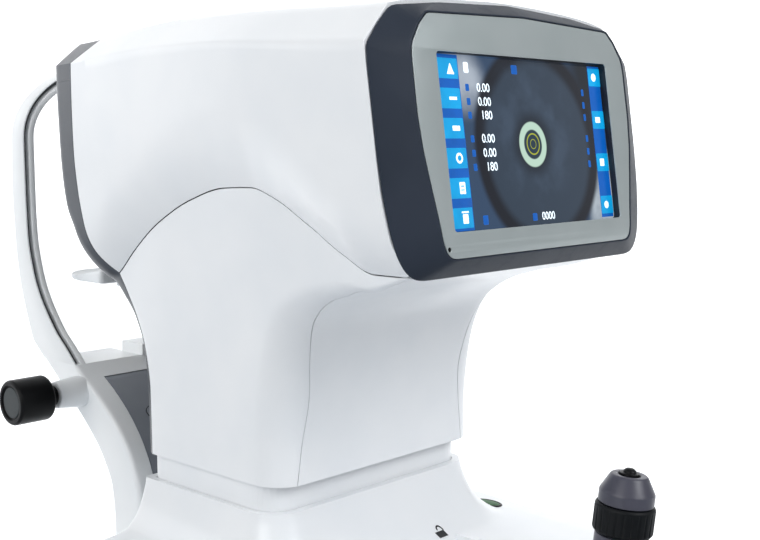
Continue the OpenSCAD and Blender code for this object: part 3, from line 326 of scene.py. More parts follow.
def carve(ob, cutters):
    """Cuts the cutters' shapes out of a piece and throws the cutters away."""
    for c in cutters:
        mod = ob.modifiers.new("carve", "BOOLEAN")
        mod.operation = "DIFFERENCE"
        mod.solver = "EXACT"
        mod.object = c
    keep = ob.modifiers.get("rolled_edge")
    if keep:
        keep.show_viewport = False
    bpy.context.view_layer.update()
    me = bpy.data.meshes.new_from_object(ob.evaluated_get(bpy.context.evaluated_depsgraph_get()))
    for mod in [m for m in ob.modifiers if m.type == "BOOLEAN"]:
        ob.modifiers.remove(mod)
    ob.data = me
    finish_mesh(me, 35)
    if keep:
        keep.show_viewport = True
    for c in cutters:
        bpy.data.objects.remove(c)


def cutter(low, high):
    """A plain box between two corners, used only to carve."""
    x, y, z = (np.array([a, b]) for a, b in zip(low, high))
    ring = [[x[0], y[0]], [x[1], y[0]], [x[1], y[1]], [x[0], y[1]]]
    rings = [[[p[0], p[1], h] for p in ring] for h in z]
    return loft("cutter", rings, "seam_dark", None)


def rounded_box(name, low, high, r, slot, body, hides=(), roll=0.5):
    """A box whose upright edges have radius r and whose other edges are rolled."""
    (x0, y0, z0), (x1, y1, z1) = low, high
    line = fillet([[x0, y0], [x1, y0], [x1, y1], [x0, y1]], r, 7)
    rings = [np.column_stack([line, np.full(len(line), h)]) for h in (z0, z1)]
    return loft(name, rings, slot, body, hides, roll=roll)


# ---------- curves of the head's skin ----------
def curve(x, rows):
    """Smooth line through rows of (place, value): cubic pieces, slopes the harmonic mean of both sides."""
    t = np.array(rows, float)
    x = np.asarray(x, float)
    h = np.diff(t[:, 0])
    d = np.diff(t[:, 1]) / h
    both, total = d[:-1] * d[1:], d[:-1] + d[1:]
    inner = np.where(both > 0, 2 * both / np.where(total == 0, 1, total), 0)
    m = np.concatenate([[d[0]], inner, [d[-1]]])
    k = np.clip(np.searchsorted(t[:, 0], x, side="right") - 1, 0, len(h) - 1)
    u = np.clip((x - t[k, 0]) / h[k], 0, 1)
    return (t[k, 1] * (1 + 2 * u) * (1 - u) ** 2 + m[k] * h[k] * u * (1 - u) ** 2
            + t[k + 1, 1] * u * u * (3 - 2 * u) + m[k + 1] * h[k] * u * u * (u - 1))


def ease(t):
    """Smooth S from 0 to 1."""
    u = np.clip(t, 0, 1)
    return u * u * (3 - 2 * u)


GAP_FRAME = 0.2
GAP_TRIM = 0.15
GAP_SEAM = 0.25
FRONT = [[168, 0], [184, 0], [205, -2], [224, -6], [240, -13], [256, -27], [277, -53],
         [290, -72], [298, -95], [306, -122]]
REAR = [[168, 0], [208, 1], [235, 4], [254, 12], [269, 25], [281, 37], [295, 47], [308, 55],
        [331, 67], [358, 72], [385, 74], [404, 75], [455, 76]]
TRIM = [[160, -9.4], [210, -9], [236, -5], [255, 2], [274, 12], [283, 18], [300, 29], [316, 35],
        [339, 42], [365, 46], [397, 47], [418, 47], [436, 41], [470, 38]]
ARCH = [[-185, 303], [-140, 302], [-119, 311], [-96, 326], [-72, 340], [-55, 345], [-30, 344],
        [3, 336], [38, 321], [70, 301], [93, 283], [130, 262]]
SEAM = [[160, 77], [190, 73], [220, 69], [242, 72], [259, 76], [286, 86], [302, 95], [310, 97]]
PANEL = [[160, -12], [240, -12], [290, -13], [330, -17], [400, -18], [423, -24]]
BLEND = [[-180, 3.2], [-60, 2.2], [200, 2.2]]


def upper_w(y):
    """Half-width of the upper head: 118 at the screen narrowing to 107 at the patient."""
    return 107 + 11 * curve(y, [[-180, 1], [-60, 0.96], [60, 0.5], [119, 0.18], [150, 0]])


def side_w(y, z):
    """Half-width of the skin: swells from the neck to the arch, then swells again to the upper head."""
    h = curve(y, ARCH)
    w = 92 + curve(y, [[-180, 6], [-140, 3], [-55, 13], [40, 8], [93, 2], [130, 1]])
    up = w + (upper_w(y) - w) * (1 - (1 - np.clip((z - h) / 46, 0, 1)) ** curve(y, BLEND))
    low = 92 + (w - 92) * np.clip((z - 200) / (h - 200), 0, None) ** 2.4
    return np.where(z > h, up, low)


def roof_share(r):
    """Share of the width left on the roof: a flat chamfer up to 0.6, then a round crown."""
    if r <= 0:
        return 1.0
    if r <= 0.6:
        return 1 - (1 - 97 / 118) * r / 0.6
    return 97 / 118 * math.sqrt(max(0.0, (1 - r) / 0.4))


def level_z(y, v):
    """Height of a level: 0 neck edge, 1 arch, 2 shoulder crease, 3 crown."""
    h = curve(y, ARCH)
    if v <= 1:
        return 168 + (h - 168) * v
    return h + (425 - h) * (v - 1) if v <= 2 else 425 + 30 * (v - 2) + 0 * h


def roof_fall(y, v):
    """Fall of the roof towards both ends, growing from level 1.4 upwards."""
    r = (v - 2) * (2.5 if v < 2 else 1)
    front = curve(r, [[-1.5, 0], [0, 5], [0.6, 3], [1, 8]])
    rear = curve(r, [[-1.5, 0], [0, 5], [0.6, 8], [1, 14]])
    return (ease((-y - 20) / 136) * front + ease((y - 20) / 128) * rear) * (v > 1.4)


def ring(v):
    """Half of one level from the front middle round the side to the rear middle: flat front,
    round corner, long side, round corner, flat rear."""
    y0 = -60 + float(curve(level_z(-160.0, v), FRONT))
    y1 = 100.0
    for _ in range(12):
        y1 = 72 + float(curve(level_z(y1, v), REAR))
    r0, r1 = max(3.0, 22 - max(0.0, v - 0.6) * 40), 12.0
    a = np.linspace(0, np.pi / 2, 24)
    side = np.linspace(y0 + r0, y1 - r1, 160)[1:-1]
    share = np.concatenate([np.linspace(0, 92 - r0, 30)[:-1], 92 - r0 + r0 * np.sin(a), 0 * side + 92,
                            92 - r1 + r1 * np.cos(a), np.linspace(92 - r1, 0, 30)[1:]]) / 92
    y = np.concatenate([np.full(29, y0), y0 + r0 - r0 * np.cos(a), side,
                        y1 - r1 + r1 * np.sin(a), np.full(29, y1)])
    z = level_z(y, v)
    return np.column_stack([share * side_w(y, z) * roof_share(v - 2), y, z - roof_fall(y, v)])


def frame_plane(z):
    """Place of the frame's back edge at height z, on a plane leaning with the screen."""
    return -173.5 + (11.5 + (z - 371) * math.sin(TILT)) / math.cos(TILT)


def stretch(path, start, end, n):
    """n points evenly along the part of a path between the zero crossings of two measures."""
    def crossing(s):
        i = int(np.argmax(s >= 0)) if (s >= 0).any() else len(s) - 1
        return i if i == 0 else i - 1 + s[i - 1] / (s[i - 1] - s[i] + 1e-12)
    run = np.concatenate([[0], np.cumsum(np.linalg.norm(np.diff(path, axis=0), axis=1))])
    a, b = (float(np.interp(min(crossing(s), len(run) - 1), np.arange(len(run)), run)) for s in (start, end))
    at = np.linspace(a, max(b, a + 1e-3), n)
    return np.column_stack([np.interp(at, run, path[:, i]) for i in range(3)])


def mirror(grid):
    """The same grid on the other side, x turned round."""
    return grid * np.array([-1.0, 1.0, 1.0])


LOW = np.linspace(0, 0.9982, 64)
HIGH = np.concatenate([np.linspace(1.0028, 1.5, 26), np.linspace(1.5, 2, 12)[1:], np.linspace(2, 2.6, 9)[1:],
                       3 - 0.4 * np.linspace(1, 0, 22)[1:] ** 2])


def trim_y(p):
    """How far a point is behind the line between the covers and the dark trim."""
    return p[:, 1] - 72 - curve(p[:, 2], TRIM)


def panel_x(p):
    """Half-width of the dark panel on the patient side at each point's height."""
    z = p[:, 2]
    return np.minimum(upper_w(140.0), side_w(72 + curve(z, REAR), z)) + curve(z, PANEL)


def make_head():
    """Hood, side panels, front cover, dark trim and patient panel, all from the one skin."""
    half = []
    for v, p in zip(HIGH, map(ring, HIGH)):
        corner_end = p[:, 1] - p[0, 1] - max(3.0, 22 - (v - 0.6) * 40)
        past_frame = p[:, 1] - frame_plane(p[:, 2]) - GAP_FRAME
        half.append(stretch(p, np.minimum(past_frame, corner_end), trim_y(p) + GAP_TRIM, 90))
    half = np.array(half)
    shell("hood_cover", np.concatenate([half, mirror(half[:-1])[::-1]]), "white_shell", "head", ["hood"])
    side = []
    for p in map(ring, LOW):
        past_seam = p[:, 0] - curve(p[:, 2], SEAM) - GAP_SEAM
        begin = np.minimum(past_seam, p[:, 1] - frame_plane(p[:, 2]) - GAP_FRAME)
        side.append(stretch(p, begin, trim_y(p) + GAP_TRIM, 96))
    side = np.array(side)
    shell("side_cover_right", side, "white_shell", "head", ["side_panel_right"])
    shell("side_cover_left", mirror(side), "white_shell", "head", ["side_panel_left"])
    front = []
    for p in map(ring, LOW):
        row = stretch(p, p[:, 0], p[:, 0] - curve(p[:, 2], SEAM) + GAP_SEAM, 40)
        row[:, 1] = np.maximum(row[:, 1], frame_plane(row[:, 2]) + 0.3)
        front.append(row)
    front = np.array(front)
    whole = np.concatenate([mirror(front)[:, :0:-1], front], axis=1)
    shell("front_cover_skin", whole, "white_shell", "head", ["front_cover"])
    rows = np.concatenate([LOW[:-1], HIGH[HIGH < 1.93], [1.93]])
    band = np.array([stretch(p, trim_y(p) - GAP_TRIM,
                             (p[:, 1] > 60) * (panel_x(p) - p[:, 0]) + (p[:, 1] <= 60) * -1.0, 44)
                     for p in map(ring, rows)])
    shell("trim_right", band, "trim_grey", "head", ["trim_band"])
    shell("trim_left", mirror(band), "trim_grey", "head")
    top_rows = np.concatenate([[1.93], HIGH[HIGH > 1.94]])
    top = np.array([stretch(p, trim_y(p) - GAP_TRIM, np.where(p[:, 1] > 60, -p[:, 0], -1.0), 70)
                    for p in map(ring, top_rows)])
    shell("trim_top", np.concatenate([top, mirror(top[:-1])[::-1]]), "trim_grey", "head")
    back = []
    for p in map(ring, np.concatenate([np.linspace(0.03, 0.998, 40), np.linspace(1.0, 1.925, 24)])):
        q = p[::-1]
        back.append(stretch(q, q[:, 0], q[:, 0] - panel_x(q) + 0.3, 40))
    back = np.array(back)
    back[:, :, 1] -= 0.6
    whole = np.concatenate([mirror(back)[:, :0:-1], back], axis=1)
    panel = shell("patient_cover", whole, "panel_dark", "head", ["patient_panel"])
    hole = lathe("cutter", [[0, -40], [28, -40], [28, 60], [0, 60]], "seam_dark", None,
                 place=Matrix.Translation((0, 120, 374)) @ Matrix.Rotation(-math.pi / 2, 4, "X"))
    carve(panel, [hole])
    lathe("eye_port_ring", [[24.5, -3], [30.5, -3], [30.5, 1.2], [28.5, 2.2], [24.5, 0.2]],
          "black_plastic", "head", closed=True,
          place=Matrix.Translation((0, 145.5, 374)) @ Matrix.Rotation(-math.pi / 2, 4, "X"))


# ---------- screen ----------
FRAME_HALF = [[0, -68.7], [94, -68.7], [101, -67.5], [107, -63], [111.5, -55], [114.5, -43], [117, -25],
              [118, -4], [118, 40], [117, 49.5], [108, 60], [97, 70], [60, 74.2], [0, 77]]
BEZEL_HALF = [[0, -60.6], [80, -60.6], [84, -59.8], [87, -57], [88.7, -52], [90.5, -40], [93.5, -24],
              [97, -4], [98.5, 14], [98.2, 44], [97, 50], [90, 60], [83, 66.2], [0, 69]]


def box_line(w, h, r, x=0.0, y=0.0):
    """Outline of a rounded rectangle round (x, y)."""
    left, right, low, high = x - w / 2, x + w / 2, y - h / 2, y + h / 2
    return fillet([[left, low], [right, low], [right, high], [left, high]], r, 6)


def round_line(r, x=0.0, y=0.0, n=40):
    """Outline of a circle round (x, y)."""
    a = np.linspace(0, 2 * np.pi, n, endpoint=False)
    return np.column_stack([x + r * np.cos(a), y + r * np.sin(a)])


def frame_lines():
    """Outer and inner outlines of the bevelled frame with equal counts: edges divided, corners rounded."""
    h = np.hstack([FRAME_HALF, BEZEL_HALF])
    whole = np.concatenate([h, (h * [-1, 1, -1, 1])[-2:0:-1]])
    parts = []
    for a, b in zip(whole, np.roll(whole, -1, 0)):
        k = max(1, int(np.linalg.norm((b - a)[:2]) // 9))
        parts.append(a + (b - a) * np.linspace(0, 1, k, endpoint=False)[:, None])
    q = fillet(np.concatenate(parts), 5.0, 4)
    return q[:, :2], q[:, 2:]


def ring_mask():
    """Shared group: 1 within a half width of a circle round a centre, 0 outside, soft between."""
    g = bpy.data.node_groups.new("ring_mask", "ShaderNodeTree")
    for name, kind in (("Place", "Vector"), ("Centre", "Vector"), ("Radius", "Float"),
                       ("Half width", "Float"), ("Soft", "Float")):
        g.interface.new_socket(name=name, in_out="INPUT", socket_type="NodeSocket" + kind)
    g.interface.new_socket(name="Mask", in_out="OUTPUT", socket_type="NodeSocketFloat")
    n, link = g.nodes, g.links.new
    start, end, far = n.new("NodeGroupInput"), n.new("NodeGroupOutput"), n.new("ShaderNodeVectorMath")
    far.operation = "DISTANCE"
    off, size, low, high = (n.new("ShaderNodeMath") for _ in range(4))
    for node, kind in ((off, "SUBTRACT"), (size, "ABSOLUTE"), (low, "SUBTRACT"), (high, "ADD")):
        node.operation = kind
    span = n.new("ShaderNodeMapRange")
    span.interpolation_type = "SMOOTHSTEP"
    link(start.outputs["Place"], far.inputs[0])
    link(start.outputs["Centre"], far.inputs[1])
    link(far.outputs["Value"], off.inputs[0])
    link(start.outputs["Radius"], off.inputs[1])
    link(off.outputs[0], size.inputs[0])
    for node in (low, high):
        link(start.outputs["Half width"], node.inputs[0])
        link(start.outputs["Soft"], node.inputs[1])
    link(size.outputs[0], span.inputs["Value"])
    link(high.outputs[0], span.inputs["From Min"])
    link(low.outputs[0], span.inputs["From Max"])
    link(span.outputs[0], end.inputs["Mask"])
    return g


def eye_picture():
    """Lit picture of an eye: dark ground, pale corners, dark rim, slate disc, pale ring, yellow ring."""
    m = bpy.data.materials.new("screen_glass")
    m.use_nodes = True
    n, link = m.node_tree.nodes, m.node_tree.links.new
    p = n["Principled BSDF"]
    own = n.new("ShaderNodeUVMap")
    own.uv_map = "plane"
    rings = ring_mask()
    noise = n.new("ShaderNodeTexNoise")
    noise.inputs["Scale"].default_value = 0.05
    noise.inputs["Detail"].default_value = 5.0
    link(own.outputs[0], noise.inputs["Vector"])

    def layer(below, code, centre, radius, half, soft, speckle=0.0):
        """One coloured ring over what is below; speckle lets the noise eat into it."""
        g = n.new("ShaderNodeGroup")
        g.node_tree = rings
        for name, value in (("Centre", (*centre, 0)), ("Radius", radius), ("Half width", half),
                            ("Soft", soft)):
            g.inputs[name].default_value = value
        link(own.outputs[0], g.inputs["Place"])
        mask = g.outputs[0]
        if speckle:
            eat, cut = n.new("ShaderNodeMapRange"), n.new("ShaderNodeMath")
            eat.inputs["From Min"].default_value = 0.42
            eat.inputs["From Max"].default_value = 0.62
            eat.inputs["To Min"].default_value = 1 - speckle
            cut.operation = "MULTIPLY"
            link(noise.outputs[0], eat.inputs["Value"])
            link(eat.outputs[0], cut.inputs[0])
            link(mask, cut.inputs[1])
            mask = cut.outputs[0]
        mix = n.new("ShaderNodeMix")
        mix.data_type = "RGBA"
        mix.inputs[7].default_value = tint(code)
        if isinstance(below, str):
            mix.inputs[6].default_value = tint(below)
        else:
            link(below, mix.inputs[6])
        link(mask, mix.inputs[0])
        return mix.outputs[2]

    c = layer("#3B5270", "#BFCAD8", (-53, 32), 0, 15, 8, 0.35)
    c = layer(c, "#1D232B", (84, 44), 0, 40, 14)
    c = layer(c, "#C6D2DC", (88, -40), 0, 34, 5, 0.35)
    c = layer(c, "#20232C", (9, -3), 0, 58, 2.5)
    c = layer(c, "#394758", (9, -3), 0, 48.5, 3.5)
    c = layer(c, "#46566A", (4, 6), 22, 14, 13, 0.9)
    c = layer(c, "#27303C", (2.7, -1.2), 0, 17, 5)
    c = layer(c, "#D2F2DE", (2.7, -1.2), 10.4, 2.2, 0.5)
    c = layer(c, "#2C4050", (2.7, -1.2), 0, 7.9, 0.7)
    c = layer(c, "#C9D13A", (2.9, -1.0), 5.7, 0.35, 0.25)
    c = layer(c, "#C9D13A", (2.9, -1.0), 2.6, 0.18, 0.2)
    link(c, p.inputs["Emission Color"])
    p.inputs["Emission Strength"].default_value = 0.8
    p.inputs["Base Color"].default_value = tint("#0A0C10")
    p.inputs["Roughness"].default_value = 0.1
    STUFF["screen_glass"] = m


def glow(m, strength):
    """Lets a material shine in its own colour."""
    p = m.node_tree.nodes["Principled BSDF"]
    m.node_tree.links.new(p.inputs["Base Color"].links[0].from_socket, p.inputs["Emission Color"])
    p.inputs["Emission Strength"].default_value = strength


def lit(slot, light, dark, strength=0.95):
    """A lit finish for marks on the screen, its glow slightly uneven."""
    glow(stuff(slot, light, dark, 0.3, grain=(600, 0.0), broad=90), strength)


COLUMN_UP, TILE_UP, MARK_UP, SIGN_UP, DETAIL_UP = -4.54, -4.48, -4.5, -4.42, -4.38
TILE_TOP, LEFT_PITCH, RIGHT_PITCH, SIGN_X = 38.5, 15.5, 25.4, -63


def mark(name, line, slot="mark_white", up=MARK_UP):
    """A thin flat mark on the screen."""
    return plate(name, [line], up - 0.06, up, slot, "head", place=SCREEN, bevel=0.01)


def digits(name, text, x, y, size, slot="mark_white"):
    """Plain digits on the screen, made mesh."""
    cu = bpy.data.curves.new(name, "FONT")
    cu.body = text
    cu.size = size * MM
    cu.extrude = 0.03 * MM
    cu.offset = 0.05 * MM
    cu.align_x = "RIGHT"
    cu.align_y = "CENTER"
    flat = bpy.data.objects.new(name, cu)
    bpy.context.scene.collection.objects.link(flat)
    bpy.context.view_layer.update()
    me = bpy.data.meshes.new_from_object(flat.evaluated_get(bpy.context.evaluated_depsgraph_get()))
    bpy.data.objects.remove(flat)
    whole = SCREEN @ Matrix.Translation((x, y, MARK_UP))
    me.transform(Matrix.Scale(MM, 4) @ whole @ Matrix.Scale(1 / MM, 4))
    finish_mesh(me, 35)
    ob = bpy.data.objects.new(name, me)
    bpy.context.scene.collection.objects.link(ob)
    return settle(ob, slot, "head", (), 0, 35)


def make_screen():
    """Bevelled frame, bezel plate, dark recess, lit face and the marks on it."""
    outer, inner = frame_lines()
    section = [(inner, 0.985, -10.8), (outer, 0.975, -11.5), (outer, 0.997, -11.5), (outer, 1.0, -11.0),
               (outer, 1.0, -10.3), (outer * 0.95 + inner * 0.05, 1.0, -9.5),
               (outer * 0.05 + inner * 0.95, 1.0, -0.75), (inner, 1.0, -0.25), (inner, 0.995, 0.0),
               (inner, 0.988, -0.1), (inner, 0.985, -0.6)]
    rings = [np.column_stack([line * share, np.full(len(line), depth)]) for line, share, depth in section]
    loft("frame_bevel", rings, "frame_charcoal", "head", ["screen_frame"], closed=True, place=SCREEN,
         sharp=30)
    window = box_line(155.6, 92.2, 2.5)
    plate("bezel_plate", [inner * 0.9825, window, round_line(1.25, -83.5, -54.5, 20)], -0.75, -0.15,
          "bezel_grey", "head", ["bezel"], SCREEN, 0.25)
    plate("window_recess", [box_line(165, 101.6, 3), window], -4.9, -0.75, "recess_dark", "head",
          (), SCREEN, 0.05)
    plate("mark_hole_back", [round_line(2.4, -83.5, -54.5, 20)], -1.2, -0.74, "ring_black", "head",
          (), SCREEN, 0.05)
    mark("right_column", box_line(12.4, 90, 0.3, 70.8, 0), "mark_blue", COLUMN_UP)
    face = plate("screen_face", [box_line(164, 100.6, 2)], -5.0, -4.6, "screen_glass", "head",
                 ["touch_glass"], SCREEN, 0.02)
    co = np.empty(len(face.data.vertices) * 3)
    face.data.vertices.foreach_get("co", co)
    back = np.array(SCREEN.inverted())
    flat = (co.reshape(-1, 3) / MM) @ back[:3, :3].T + back[:3, 3]
    corner = np.empty(len(face.data.loops), int)
    face.data.loops.foreach_get("vertex_index", corner)
    layer = face.data.uv_layers.new(name="plane")
    layer.data.foreach_set("uv", flat[corner, :2].ravel())
    mark("left_column", box_line(21.5, 91.4, 0.3, -67.2, 0), "mark_blue", COLUMN_UP)
    for i in range(6):
        y = TILE_TOP - LEFT_PITCH * i
        signs = [fillet([[-66, y - 3], [-60, y - 3], [-63, y + 3]], 0.4), box_line(6, 1.6, 0.3, SIGN_X, y),
                 box_line(6, 2.6, 0.4, SIGN_X, y), round_line(2.8, SIGN_X, y),
                 box_line(4.6, 6.2, 0.5, SIGN_X, y), box_line(4.4, 5, 0.6, SIGN_X, y - 0.5)]
        mark(f"left_tile_{i}", box_line(20, 10.6, 0.6, -67, y), "mark_cyan", TILE_UP)
        mark(f"left_sign_{i}", signs[i], up=SIGN_UP)
    page, lid, circle = (TILE_TOP - LEFT_PITCH * i for i in (4, 5, 3))
    mark("page_line_high", box_line(2.8, 0.6, 0.1, SIGN_X, page + 1), "mark_cyan", DETAIL_UP)
    mark("page_line_low", box_line(2.8, 0.6, 0.1, SIGN_X, page - 1), "mark_cyan", DETAIL_UP)
    mark("bin_lid", box_line(5.6, 0.9, 0.2, SIGN_X, lid + 3), up=SIGN_UP)
    mark("ring_hole", round_line(1.5, SIGN_X, circle), "mark_cyan", DETAIL_UP)
    for i in range(4):
        y = TILE_TOP - RIGHT_PITCH * i
        signs = [round_line(2.4, 70.5, y), box_line(5, 3.4, 0.4, 70.5, y),
                 box_line(4.4, 4.4, 0.6, 70.5, y), round_line(2.2, 70.5, y)]
        mark(f"right_tile_{i}", box_line(12.4, 10.6, 0.6, 71.2, y), "mark_cyan", TILE_UP)
        mark(f"right_sign_{i}", signs[i], up=SIGN_UP)
    for i, (text, y) in enumerate((("0.00", 29.0), ("0.00", 21.6), ("180", 14.4), ("0.00", 2.0),
                                   ("0.00", -5.6), ("180", -13.0))):
        digits(f"value_{i}", text, -31.5, y, 6.5)
        mark(f"left_dash_{i}", box_line(3.0, 3.8, 0.8, -50.5, y), "mark_blue")
        mark(f"right_dash_{i}", box_line(2.4, 4.0, 0.7, 57.0, y), "mark_blue")
    digits("value_low", "0000", 16.5, -41.5, 6.2)
    mark("low_dash", box_line(4.2, 4.2, 0.7, -2.5, -41.5), "mark_blue")
    mark("high_dash", box_line(5.4, 5.0, 0.8, -8.0, 40.0), "mark_blue")
    mark("corner_square_low", box_line(4.4, 5.0, 0.8, -46.5, -41.0), "mark_blue")
    mark("side_square", box_line(4.0, 5.6, 0.8, -50.0, 39.5))


# ---------- stage ----------
STAGE = [[72, 138, -242, 54], [100, 138, -242, 54], [106, 137.4, -241.4, 54], [109.4, 135.6, -239.6, 53],
         [111.2, 132, -236, 50], [112, 124, -224, 46], [112.5, 119, -114, 44], [113.3, 113, -94, 40],
         [115, 108.5, -84, 34], [118, 105, -77, 30], [122, 101.5, -71, 27], [130, 97.5, -64, 25],
         [139, 94.8, -59.5, 23], [146, 93, -57.2, 22], [151, 92, -56, 21]]


def deck_rise(y, z):
    """Lift of the sloping deck: 4 in 100 along the stage, fading at the skirt and at the lip."""
    return 0.04 * (y + 46) * ease((z - 72) / 26) * ease((151 - z) / 34)


LAMP_X, LAMP_Y = 112.4, -55.2
SIGN_LIFT = 0.12


def stage_ring(z, w, y0, r0, y1=72.0, r1=4.0, level=None):
    """One closed section of the stage cover: a rounded rectangle at half-width w."""
    a = np.linspace(0, np.pi / 2, 26)
    b = np.linspace(0, np.pi / 2, 8)
    x = np.concatenate([np.linspace(0, w - r0, 40)[:-1], w - r0 + r0 * np.sin(a), np.full(38, w),
                        w - r1 + r1 * np.cos(b), np.linspace(w - r1, 0, 30)[1:]])
    y = np.concatenate([np.full(39, y0), y0 + r0 - r0 * np.cos(a),
                        np.linspace(y0 + r0, y1 - r1, 40)[1:-1], y1 - r1 + r1 * np.sin(b), np.full(29, y1)])
    level = z if level is None else level
    half = np.column_stack([x, y, z + deck_rise(y, level)])
    return np.concatenate([half, mirror(half)[-2:0:-1]])


def stage_rows():
    """Dense rows of the stage cover, a smooth curve through its sections."""
    i = np.linspace(0, len(STAGE) - 1, 96)
    return np.column_stack([curve(i, [[k, row[c]] for k, row in enumerate(STAGE)]) for c in range(4)])


def on_stage(x, y):
    """Height of the cover's middle front flare at each y."""
    rows = stage_rows()
    z = rows[:, 0] + deck_rise(rows[:, 2], rows[:, 0])
    keep = rows[:, 0] > 111.5
    return np.interp(y, rows[keep, 2], z[keep]) + 0 * x


def make_stage():
    """Stage cover with its openings for the stick and the printer door, pilot lamp and lock sign."""
    rows = stage_rows()
    outer = [stage_ring(*row) for row in rows]
    lip = [stage_ring(z, 88.4, -50.9, 18.4, 68.4, 8, 151) for z in (151, 147.8)]
    inner = [stage_ring(max(z - 3, 72), w - 3, y + 3, r - 3, 69, 4, z) for z, w, y, r in rows[::-1]]
    cover = loft("stage_skin", outer + lip + inner, "white_shell", "stage", ["stage_cover"], closed=True,
                 roll=0.5, sharp=40)
    hole = lathe("cutter", [[0, 80], [25.5, 80], [25.5, 130], [0, 130]], "seam_dark", None,
                 place=Matrix.Translation((61, -191, 0)))
    carve(cover, [hole, cutter((-102, -262, 60), (-30, -215, 96))])
    bpy.context.view_layer.update()
    spots = [Vector((LAMP_X + dx, LAMP_Y + dy, 200)) * MM for dx, dy in ((0, 0), (4, 0), (0, 4))]
    hits = [cover.ray_cast(spot, Vector((0, 0, -1)))[1] / MM for spot in spots]
    up = (hits[1] - hits[0]).cross(hits[2] - hits[0]).normalized()
    at = Matrix.Translation(hits[0]) @ up.to_track_quat("Z", "Y").to_matrix().to_4x4()
    lathe("lamp_ring", [[8.4, -1.6], [10.3, -1.6], [10.4, 0.2], [9.6, 0.75], [8.4, 0.6]],
          "knob_black", "stage", ["pilot_ring"], at, 0.3, closed=True)
    lathe("lamp_lens", [[0, -1.4], [8.4, -1.4], [8.4, 0.45], [6.5, 0.8], [3.4, 1.0], [0, 1.05]],
          "lamp_green", "stage", ["pilot_lens"], at, round_by=0.6)
    gx, gy = np.meshgrid(np.linspace(29.2, 37.2, 10), np.linspace(-81.2, -76.6, 8), indexing="ij")
    body = np.stack([gx, gy, on_stage(gx, gy) + SIGN_LIFT], -1)
    shell("lock_sign_body", body, "print_black", "stage", (), 0.2, 0)
    a, r = np.meshgrid(np.radians(np.linspace(-15, 175, 30)), np.array([1.9, 2.7]), indexing="ij")
    gx, gy = 35.0 + r * np.cos(a), -75.9 + r * np.sin(a) * 1.2
    bow = np.stack([gx, gy, on_stage(gx, gy) + SIGN_LIFT], -1)
    shell("lock_sign_bow", bow, "print_black", "stage", (), 0.2, 0)


# ---------- joystick ----------
def make_joystick():
    """Dome, moulded grip with its slate cap, ribbed ring and button, leaned on the ball."""
    lean = (Matrix.Translation((61, -191, 92)) @ Matrix.Rotation(math.radians(4.243), 4, "X")
            @ Matrix.Rotation(math.radians(4.243), 4, "Y"))
    a = np.radians(np.linspace(14, 72, 24))
    dome = np.concatenate([np.column_stack([22 * np.cos(a), 22 * np.sin(a)]),
                           np.column_stack([20.4 * np.cos(a[::-1]), 20.4 * np.sin(a[::-1])])])
    lathe("stick_dome", dome, "black_plastic", "stick", (), lean, 0.3, closed=True)
    lathe("grip_body", [[6, 21], [8, 22.5], [10, 26], [13.5, 31], [16.3, 37], [16.3, 44.2], [13.5, 44.2],
                        [13.5, 63.4], [16.6, 63.4], [16.8, 64.2], [16.8, 70.5], [11.6, 80], [10.6, 81],
                        [7.4, 81], [6.6, 80.4], [6.6, 74], [5, 74], [5, 30], [6, 30]],
          "grip_slate", "stick", ["stick_grip"], lean, 0.8, closed=True)
    lathe("ribbed_ring", [[13.8, 45], [16.9, 45], [18.3, 46.8], [18.3, 61.4], [17.4, 63], [13.8, 63]],
          "ring_black", "ring", ["elevation_ring"], lean, 0.7, 288,
          lambda t, z: -0.9 * np.clip(np.cos(24 * t), 0, 1) ** 3 * ease((z - 46.5) / 1.5)
          * ease((61.2 - z) / 1.5), True)
    lathe("button_top", [[0, 76.4], [6, 76.4], [6, 81.7], [5.6, 82], [4.2, 82], [3.8, 83.3], [2.4, 84.5],
                         [0, 84.9]], "knob_black", "button", ["measure_button"], lean, 0.5)


# ---------- headrest ----------
ARM_FRONT = [[60, 0], [128, 0], [145, 4.5], [160, 12], [177, 25], [193, 43], [206, 62], [222, 79],
             [235, 93], [256, 105], [277, 111], [306, 114.5], [364, 115], [440, 115]]
ARM_REAR = [[60, 31], [107, 31.5], [130, 34], [149, 44], [165, 57.5], [180, 73], [201, 97], [216, 115],
            [226, 125], [252, 130], [305, 132], [342, 133], [371, 131.5], [440, 130]]
HOOP_SIDE = [[60, -12], [150, -12], [200, -9], [235, -7], [270, -2.5], [300, -0.5], [330, 0], [372, 0]]


def hoop_point(inset, low, a):
    """Points of the hoop's line moved in by `inset`: straight sides, then a fuller-than-round arch."""
    side = np.column_stack([93 + curve(low, HOOP_SIDE) - inset, low])
    c = np.sign(np.cos(a)) * np.abs(np.cos(a)) ** (2 / 2.1)
    arch = np.column_stack([(93 - inset) * c, 371 + (59 - inset) * np.abs(np.sin(a)) ** (2 / 2.1)])
    return np.concatenate([side, arch, side[::-1] * [-1, 1]])


def hoop_rings(section):
    """Rings along the hoop for a section of (inset, 0 at the front line or 1 at the rear, shift in y)."""
    low = np.arange(212, 371, 4.0)
    a = np.radians(np.linspace(0, 180, 91))
    lines = []
    for inset, rear, move in section:
        p = hoop_point(inset, low, a)
        y = 94 + np.where(rear, curve(p[:, 1], ARM_REAR), curve(p[:, 1], ARM_FRONT)) + move
        lines.append(np.column_stack([p[:, 0], y, p[:, 1]]))
    return np.array(lines).transpose(1, 0, 2)


